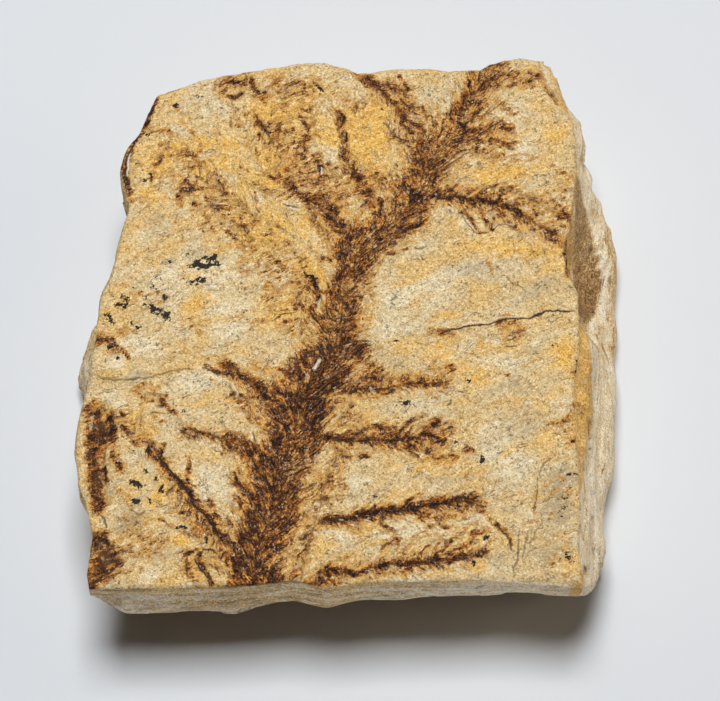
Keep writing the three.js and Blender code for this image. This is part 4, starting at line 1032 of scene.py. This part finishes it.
paleStripsAndLight = 1.1 * ease(-3, -8, skinY + wave)
paleStripsAndLight += 0.9 * ease(0.0, 0.4, pastScoop) * ease(2.6, 1.6, pastScoop) * ease(-2, 2, skinY)
paleStripsAndLight += 0.5 * ease(46.6, 46, skinX) + 0.6 * ease(28, 33, skinY) + 0.3 * ease(1, 3, pastScoop)
paleStripsAndLight *= rightSide
# The near side is lifted toward the pale strips' colour, more to the right, as painted light
paleStripsAndLight += nearSide * (0.36 + 0.6 * ease(0, 32, skinX))
paleStripsAndLight += 0.4 * ease(-49, -51, skinX) * ease(0, -4, skinY)
paleStripsAndLight += 0.35 * ease(0.2, 0.9, rough(skinX - skinY, skinZ * 2, 18, 3, 45))

# The face's own rind runs over the worn edge on the right; elsewhere the flank's stone shows
pastRind = skinX - np.interp(skinY, *zip(*sideLines["rindEdge"])) - 0.3 * wave
bare = 1 - 0.9 * rightSide * ease(0.5, -0.5, pastRind)
paleStripsAndLight *= ease(0.3, 0.9, bare)

# The near side's undercut is painted dark, as painted shade under the overhang
footShadeTop = np.interp(skinX, *zip(*sideLines["footShadeTop"])) + 1.3 * wave + 2.5 * rough(skinX, 3 * skinZ, 8, 3, 47)
footShade = sideLines["footShadeStrength"] * ease(-42, -50, skinY) * ease(2, -9, skinZ - footShadeTop)

# Stored for the material, three values a point: the face's, and then the flanks' and the underside's.
# The flake channel is the pale flakes on the face and the pale strips on the flanks, lifted further on the near
# side as painted light.
none = np.zeros(len(faceX))
far = np.full(len(skinX), farOff)
blank = np.zeros(len(skinX))
stored = {
    "stain": ["iron", "ink", "shadeAndDirt"],
    "wash": ["ochre", "cream", "grey"],
    "grain": ["across", "along", "power"],
    "lines": ["gapA", "powerA", "rust"],
    "moreLines": ["gapB", "powerB"],
    "flank": ["mask", "flake", "scoop"],
}
values = {
    "stain": ([iron, ink, shadeAndDirt], [0.2 * (1 - bare), blank, footShade]),
    "wash": ([ochre, cream, grey], [0.9 * (1 - bare), blank, blank]),
    "grain": ([grainAcross, grainAlong, grainPower], [skinX + skinZ, skinY, blank]),
    "lines": ([lineGap[0], linePower[0], rust], [far, blank, blank]),
    "moreLines": ([lineGap[1], linePower[1], none], [far, blank, blank]),
    "flank": ([none, flake, none], [bare, paleStripsAndLight, scoopShadeAndBrown]),
}
for name, (onFace, onSkin) in values.items():
    both = np.concatenate([np.stack(onFace, axis=1), np.stack(onSkin, axis=1)])
    mesh.attributes.new(name, "FLOAT_VECTOR", "POINT").data.foreach_set("vector", both.ravel())
print("marks stored")


def colour(text):
    # sRGB hex to linear: v / 12.92 up to 0.04045, else ((v + 0.055) / 1.055) to the power 2.4.
    parts = [int(text[i:i + 2], 16) / 255 for i in (1, 3, 5)]
    return [v / 12.92 if v <= 0.04045 else ((v + 0.055) / 1.055) ** 2.4 for v in parts] + [1.0]


def put(tree, kind, inputs=None, ramp=None, **settings):
    # Adds one node: its settings by name, its sockets by name or number, each a value or a link.
    node = tree.nodes.new("ShaderNode" + kind)
    for name, value in settings.items():
        setattr(node, name, value)
    for socket, value in (inputs or {}).items():
        if isinstance(value, bpy.types.NodeSocket):
            tree.links.new(value, node.inputs[socket])
        else:
            node.inputs[socket].default_value = value
    if ramp:
        stops = node.color_ramp.elements
        while len(stops) < len(ramp):
            stops.new(1.0)
        for stop, (place, text) in zip(stops, ramp):
            stop.position = place
            stop.color = colour(text)
    return node


# Colours run from the darkest grain to the palest, and the three iron ones from thin stain to thick
stone = {
    "tan": ["#a88550", "#dec089", "#f8e2b0"],
    "cream": ["#b49c70", "#ead9b1", "#fff6da"],
    "ochre": ["#b8812c", "#efb852", "#ffe08a"],
    "rind": ["#9c6b2a", "#cb9848", "#e6bf76"],
    "flake": ["#b59f74", "#e2d2ae", "#f8f0dc"],
    "flank": ["#ac8450", "#f2cc8c", "#ffeab8"],
    "strips": ["#e0c08c", "#fff0cc", "#fffcee"],
    # The scoop's ramp: painted shade in the hollow over brown stain
    "scoop": ["#553a1e", "#8f6a3a", "#b89262"],
    "grainSpots": [0.15, 0.5, 0.85],
    "brown": ["#d9b06a", "#bd8740", "#9a6730", "#774924", "#4f2f18", "#2f190c", "#1c0e06"],
    "rust": ["#e2b568", "#cb8e40", "#b06f2e", "#8f5120", "#633517", "#3a2010", "#1c0e06"],
    "umber": ["#cdb48a", "#b09572", "#8f7258", "#6c5040", "#48342c", "#2c1f1a", "#1c1310"],
    "ironSpots": [0.10, 0.25, 0.42, 0.58, 0.74, 0.9, 1.0],
    "grey": "#a8987c",
    # dark grains, with the painted shade of tiny pits
    "speckShade": "#5e3f20",
    "glint": "#fff4da",
    # The crease colour is painted shade, the lip colour a painted highlight
    "shadedCrease": "#5c3e1e",
    "highlitLip": "#f4e8cc",
    "fleck": "#d2c0a0",
    "ink": "#0f1216",
    "crack": "#3a2c20",
    # The pale hairline colour is a painted highlight along edges
    "edgeHighlight": "#f3e8cf",
    "seam": "#5a4630",
    # painted shade in hollows and under the near side, and the dark speckle between grains
    "shadeAndDirt": "#5d4026",
    "roughness": 0.88,
    "specular": 0.25,
}


def siltstone():
    # Fine siltstone, split along a bed and stained by iron: matt, with grains a fifth to a third of a
    # millimetre across (real silt is finer, and is drawn that coarse so that it shows), crumbs and clots of
    # 0.6 and 1.5 mm, and mottling 3 mm wide.
    material = bpy.data.materials.new("split_siltstone")
    material.use_nodes = True
    tree = material.node_tree
    tree.nodes.clear()
    place = put(tree, "TexCoord").outputs["Object"]
    inMm = put(tree, "Mapping", {"Vector": place, "Scale": (1000, 1000, 1000)}).outputs["Vector"]
    bedPlace = put(tree, "Mapping", {"Vector": inMm, "Scale": (0.05, 0.05, 1.0)}).outputs[0]
    field = {}
    for name, parts in stored.items():
        values = put(tree, "Attribute", attribute_name=name).outputs["Vector"]
        field.update(zip(parts, put(tree, "SeparateXYZ", {0: values}).outputs))

    def total(start, *parts):
        # start + share * part + share * part and so on; a share may be a number or another pattern.
        value = start
        for share, part in parts:
            value = put(tree, "Math", {0: part, 1: share, 2: value}, operation="MULTIPLY_ADD").outputs[0]
        return value

    def cut(low, high, start, *parts):
        # The same sum, stretched so that low gives 0 and high gives 1.
        limits = {"Value": total(start, *parts), "From Min": low, "From Max": high}
        return put(tree, "MapRange", limits).outputs[0]

    def waves(size, detail, roughness, half, vector, **settings):
        # Noise with waves of a size in mm, stretched so that its middle less or plus half gives -1 or 1.
        look = {"Vector": vector, "Scale": 1 / size, "Detail": detail, "Roughness": roughness}
        raw = put(tree, "TexNoise", look, **settings).outputs[0]
        limits = {"Value": raw, "From Min": 0.5 - half, "From Max": 0.5 + half, "To Min": -1.0, "To Max": 1.0}
        return put(tree, "MapRange", limits).outputs[0]

    def thread(value, offset, inner, outer):
        # A thin line where value + offset crosses 0: 1 closer than inner, falling to 0 at outer.
        moved = put(tree, "Math", {0: value, 1: offset}, operation="ADD").outputs[0]
        gap = put(tree, "Math", {0: moved}, operation="ABSOLUTE").outputs[0]
        limits = {"Value": gap, "From Min": inner, "From Max": outer, "To Min": 1.0, "To Max": 0.0}
        return put(tree, "MapRange", limits).outputs[0]

    def crystals(size, vector, push, **settings):
        # Three random values from -0.5 to 0.5 for each sharp-edged cell of a size in mm, its border jostled.
        look = {"Vector": vector, "Scale": 1.1 / size, "Detail": 3.0, "Roughness": 0.7}
        jostle = put(tree, "TexNoise", look).outputs["Color"]
        shift = {0: jostle, 1: (push, push, push), 2: vector}
        moved = put(tree, "VectorMath", shift, operation="MULTIPLY_ADD").outputs[0]
        cell = put(tree, "TexVoronoi", {"Vector": moved, "Scale": 1 / size}, **settings).outputs["Color"]
        parts = put(tree, "SeparateXYZ", {0: cell}).outputs
        return [put(tree, "Math", {0: part, 1: 0.5}, operation="SUBTRACT").outputs[0] for part in parts]

    def alongNeedles(stretch):
        # The place across and along the needles, drawn out along them.
        along = total(0.0, (stretch, field["along"]))
        return put(tree, "CombineXYZ", {0: field["across"], 1: along, 2: 0.0}).outputs[0]

    def tint(under, over, share, strength=1.0):
        # Lays a colour over another by a share times a strength.
        factor = put(tree, "Math", {0: share, 1: strength}, operation="MULTIPLY").outputs[0]
        return put(tree, "Mix", {0: factor, 6: under, 7: over}, data_type="RGBA").outputs[2]

    # Waves and crystals; crumbs, clots and grit lie any way, shards and fibres follow the needles
    needlePlace = alongNeedles(0.2)
    fibrePlace = alongNeedles(0.34)
    patchPlace = alongNeedles(0.5)
    fine = waves(0.5, 2.0, 0.7, 0.2, inMm)
    medium = waves(1.2, 4.0, 0.75, 0.18, inMm)
    mottle = waves(3.4, 5.0, 0.7, 0.16, inMm)
    needle = total(0.0, (field["power"], waves(0.8, 3.0, 0.65, 0.18, needlePlace, noise_dimensions="2D")))
    streak = waves(1.4, 3.0, 0.6, 0.18, needlePlace, noise_dimensions="2D")
    patches = waves(5.0, 3.0, 0.55, 0.2, patchPlace, noise_dimensions="2D")
    fold = waves(1.9, 3.0, 0.6, 0.5, needlePlace, noise_dimensions="2D")
    pip = crystals(0.22, inMm, 0.14)
    grit = crystals(0.36, inMm, 0.4)
    crumb = crystals(0.62, inMm, 0.5)
    clot = crystals(1.5, inMm, 1.6)
    shard = crystals(0.48, needlePlace, 0.5, voronoi_dimensions="2D")
    fibre = crystals(0.28, fibrePlace, 0.34, voronoi_dimensions="2D")
    # Creases and lips: thin lines along the folds, painted dark as shade in the crease and pale as a highlight
    # on the lip beside it; the iron darkens along them, and both add a little bump
    creased = cut(0.0, 0.5, mottle)
    shadedCrease = total(0.0, (creased, thread(fold, 0.0, 0.008, 0.044)))
    highlitLip = total(0.0, (creased, thread(fold, -0.07, 0.012, 0.044)))
    bed = waves(1.8, 4.0, 0.7, 0.2, bedPlace)
    seam = thread(waves(2.6, 2.0, 0.5, 0.5, bedPlace), 0.06, 0.008, 0.032)
    seam = total(0.0, (cut(-0.3125, 0.625, mottle), seam))

    # How light each grain is: on the plain face, in the iron stain and on the flanks
    tone = total(0.5, (0.46, pip[0]), (0.16, grit[0]), (0.34, total(0.0, (cut(-0.6, 0.8, mottle), pip[2]))),
                 (0.16, fibre[0]), (0.04, streak), (0.03, fine), (0.04, medium), (0.05, needle), (0.05, mottle))
    amount = total(0.04, (0.85, field["iron"]), (0.14, medium), (0.08, needle), (0.06, fine), (0.46, pip[0]),
                   (0.30, crumb[0]), (0.28, clot[0]), (0.34, shard[0]), (0.40, fibre[0]), (0.10, streak),
                   (0.34, shadedCrease), (-0.32, field["rust"]))
    flankTone = total(0.5, (0.75, pip[0]), (0.30, crumb[0]), (0.14, clot[0]), (0.10, medium), (0.26, bed),
                      (-0.4, seam))
    shades = {}
    for light, spots, names in ((tone, "grainSpots", ("tan", "cream", "ochre", "rind", "flake")),
                                (flankTone, "grainSpots", ("flank", "strips", "scoop")),
                                (amount, "ironSpots", ("brown", "rust", "umber"))):
        for name in names:
            stops = list(zip(stone[spots], stone[name]))
            shades[name] = put(tree, "ValToRGB", {0: light}, ramp=stops).outputs[0]
    for name, text in stone.items():
        if isinstance(text, str):
            shades[name] = colour(text)

    # The iron stain's two edges, a yellow rind and a brown core, are cut sharp by the grains and the needles
    ragged = total(0.0, (0.14, medium), (0.12, needle), (0.08, fine), (0.20, crumb[2]), (0.18, clot[2]),
                   (0.34, shard[2]))
    cover = total(field["iron"], (cut(0.02, 0.14, field["iron"]), ragged))
    core = cut(0.31, 0.34, cover)
    rusty = cut(0.0, 0.1, 0.0, (1.0, clot[1]), (0.6, crumb[1]), (0.5, medium), (1.5, field["rust"]))
    umber = cut(0.30, 0.36, 0.0, (1.0, shard[1]), (0.5, crumb[2]), (0.3, medium))
    fleck = cut(0.58, 0.62, 0.0, (1.0, crumb[1]), (0.5, pip[1]))
    ironShade = tint(shades["brown"], shades["rust"], rusty)
    ironShade = tint(ironShade, shades["umber"], umber, 0.8)
    shades["iron"] = tint(ironShade, shades["fleck"], fleck, 0.7)
    inkEdge = total(0.0, (0.5, crumb[2]), (0.25, medium), (0.5, grit[0]))

    # The face, from the plain stone up: each row is a shade, how strongly it shows, and where
    shade = shades["tan"]
    for name, strength, share in (
        ("cream", 0.9, cut(0.02, 0.62, 0.0, (0.7, field["cream"]), (0.3, patches), (0.10, streak),
                           (0.1, fibre[1]), (0.05, medium))),
        ("ochre", 0.85, cut(0.03, 0.7, 0.0, (0.8, field["ochre"]), (-0.36, patches), (-0.11, streak),
                            (-0.12, fibre[1]), (0.1, medium))),
        ("grey", 0.75, cut(0.1, 1.2, field["grey"], (0.15, medium), (0.30, patches))),
        # Dark specks: dark grains and the painted shade of tiny pits
        ("speckShade", 0.7, cut(0.46, 0.50, 0.0, (1.0, grit[1]), (0.10, medium), (0.10, mottle))),
        ("glint", 0.6, cut(0.45, 0.49, 0.0, (1.0, grit[2]), (-0.08, medium))),
        # painted shade in the creases and a painted highlight on their lips
        ("shadedCrease", 0.7, shadedCrease),
        ("highlitLip", 0.4, highlitLip),
        ("rind", 0.8, cut(0.17, 0.20, cover)),
        ("iron", 1.0, core),
        ("flake", 0.6, cut(0.46, 0.58, field["flake"], (0.3, crumb[1]), (0.2, clot[0]), (0.16, medium))),
        ("ink", 0.97, cut(0.46, 0.54, field["ink"], (cut(0.02, 0.2, field["ink"]), inkEdge))),
    ):
        shade = tint(shade, shades[name], share, strength)

    # Hairlines, broken here and there: a dark crack where the power is positive, a painted highlight along an
    # edge where negative
    for side in ("A", "B"):
        power = field["power" + side]
        wobble = total(field["gap" + side], (0.12, medium), (0.14, crumb[0]))
        depth = put(tree, "Math", {0: power}, operation="ABSOLUTE").outputs[0]
        shown = total(0.0, (cut(0.1, 0.4, 0.0, (1.1, depth), (0.5, mottle)), thread(wobble, 0.0, 0.08, 0.28)))
        shown = total(0.0, (power, shown))
        shade = tint(shade, shades["crack"], shown)
        shade = tint(shade, shades["edgeHighlight"], shown, -1.0)

    # The flanks: beds one to three millimetres thick, parted by thin dark seams
    broken = total(0.0, (0.2, bed), (0.3, clot[0]), (0.2, medium))
    flankShade = tint(shades["flank"], shades["strips"], cut(0.2, 0.8, field["flake"], (1.0, broken)))
    # The scoop's painted shade over brown stain, and brown patches elsewhere
    flankShade = tint(flankShade, shades["scoop"], cut(0.2, 0.9, field["scoop"], (1.0, broken)))
    flankShade = tint(flankShade, shades["seam"], seam, 0.55)
    shade = tint(shade, flankShade, field["mask"])

    # Painted shade and dark speckle: thin between the grains all over, thicker where the field says, in the
    # face's hollows and under the near side
    shadeAndDirtShare = cut(0.1, 0.8, field["shadeAndDirt"], (0.25, medium), (0.4, crumb[0]), (0.5, pip[2]))
    shade = tint(shade, shades["shadeAndDirt"], shadeAndDirtShare)

    # Fine relief in mm: grains and needles on the face, crumbs and seams besides on the flanks
    onFlank = total(0.0, (0.10, crumb[0]), (0.10, bed), (-0.12, seam), (0.06, clot[0]))
    height = total(0.0, (0.02, fine), (0.04, medium), (0.05, needle), (0.05, pip[0]),
                   (0.05, total(0.0, (core, shard[0]))), (-0.04, shadedCrease), (0.04, highlitLip), (field["mask"], onFlank))
    bump = put(tree, "Bump", {"Height": height, "Distance": mm, "Strength": 1.0}).outputs[0]
    finish = {"Base Color": shade, "Normal": bump}
    finish.update({"Roughness": stone["roughness"], "Specular IOR Level": stone["specular"]})
    surface = put(tree, "BsdfPrincipled", finish).outputs[0]
    put(tree, "OutputMaterial", {"Surface": surface})
    return material


plate.data.materials.append(siltstone())
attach(plate, "root")
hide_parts(block["node"])
print("stone finished")

studio = {
    "floor": "#d8dce1",
    "glow": "#fff2e0",
    "horizon": 0.44,  # strength of the glow at the horizon
    "zenith": 0.01,
    "dimFront": 0.1,  # share of the horizon's glow left on the camera's side
}
# Area lights: place and size in metres, power in watts, colour
lamps = {
    "overhead_softbox": ((-0.03, 0.155, 1.0), (0.36, 0.36), 10.4, "#ffffff"),
    "side_softbox": ((0.88, 0.12, 0.25), (0.45, 0.45), 1.6, "#ffe8c8"),
    "front_card": ((-0.1, -1.2, 0.05), (0.6, 0.07), 2.1, "#f6f4ff"),
}

floorMesh = bpy.data.meshes.new("studio_floor")
floorMesh.from_pydata([(-3, -3, 0), (3, -3, 0), (3, 3, 0), (-3, 3, 0)], [], [(0, 1, 2, 3)])
floor = bpy.data.objects.new("studio_floor", floorMesh)
bpy.context.scene.collection.objects.link(floor)
paper = bpy.data.materials.new("matt_paper")
paper.use_nodes = True
paper.node_tree.nodes.clear()
sheet = put(paper.node_tree, "BsdfPrincipled", {"Base Color": colour(studio["floor"]), "Roughness": 0.9})
put(paper.node_tree, "OutputMaterial", {"Surface": sheet.outputs[0]})
floorMesh.materials.append(paper)

# The room's glow fades from the horizon up, and towards the camera's side
world = bpy.data.worlds.new("studio")
bpy.context.scene.world = world
world.use_nodes = True
sky = world.node_tree
towards = put(sky, "SeparateXYZ", {0: put(sky, "TexCoord").outputs["Generated"]})
limits = {"Value": towards.outputs[2], "From Max": 0.5, "To Min": studio["horizon"], "To Max": studio["zenith"]}
upward = put(sky, "MapRange", limits)
limits = {"Value": towards.outputs[1], "From Min": -0.5, "From Max": 0.3, "To Min": studio["dimFront"]}
backward = put(sky, "MapRange", limits)
strength = put(sky, "Math", {0: upward.outputs[0], 1: backward.outputs[0]}, operation="MULTIPLY")
background = sky.nodes["Background"]
background.inputs["Color"].default_value = colour(studio["glow"])
sky.links.new(strength.outputs[0], background.inputs["Strength"])

for name, (place, size, power, tone) in lamps.items():
    lamp = bpy.data.lights.new(name, "AREA")
    lamp.shape = "RECTANGLE"
    lamp.size, lamp.size_y = size
    lamp.energy = power
    lamp.color = colour(tone)[:3]
    holder = bpy.data.objects.new(name, lamp)
    holder.location = place
    east, north, rise = -np.array(place)  # every lamp faces the middle of the floor
    holder.rotation_euler = (math.atan2(math.hypot(east, north), -rise), 0, math.atan2(-east, north))
    bpy.context.scene.collection.objects.link(holder)

view = {
    "distance": 520.0,  # from the lens to the middle of the branch face
    "rise": 66.0,  # degrees above the floor
    "aim": (2.0, -9.0, 30.0),
    "lens": 130.0,
}
lens = bpy.data.cameras.new("camera")
lens.lens = view["lens"]
lens.sensor_width = 36.0
lens.sensor_fit = "HORIZONTAL"
lens.clip_start = 0.01
camera = bpy.data.objects.new("camera", lens)
rise = math.radians(view["rise"])
offset = np.array([0, -math.cos(rise), math.sin(rise)]) * view["distance"]
camera.location = (np.array(view["aim"]) + offset) * mm
camera.rotation_euler = (math.pi / 2 - rise, 0, 0)
bpy.context.scene.collection.objects.link(camera)
bpy.context.scene.camera = camera
bpy.context.scene.view_settings.view_transform = "Standard"

print("studio ready")
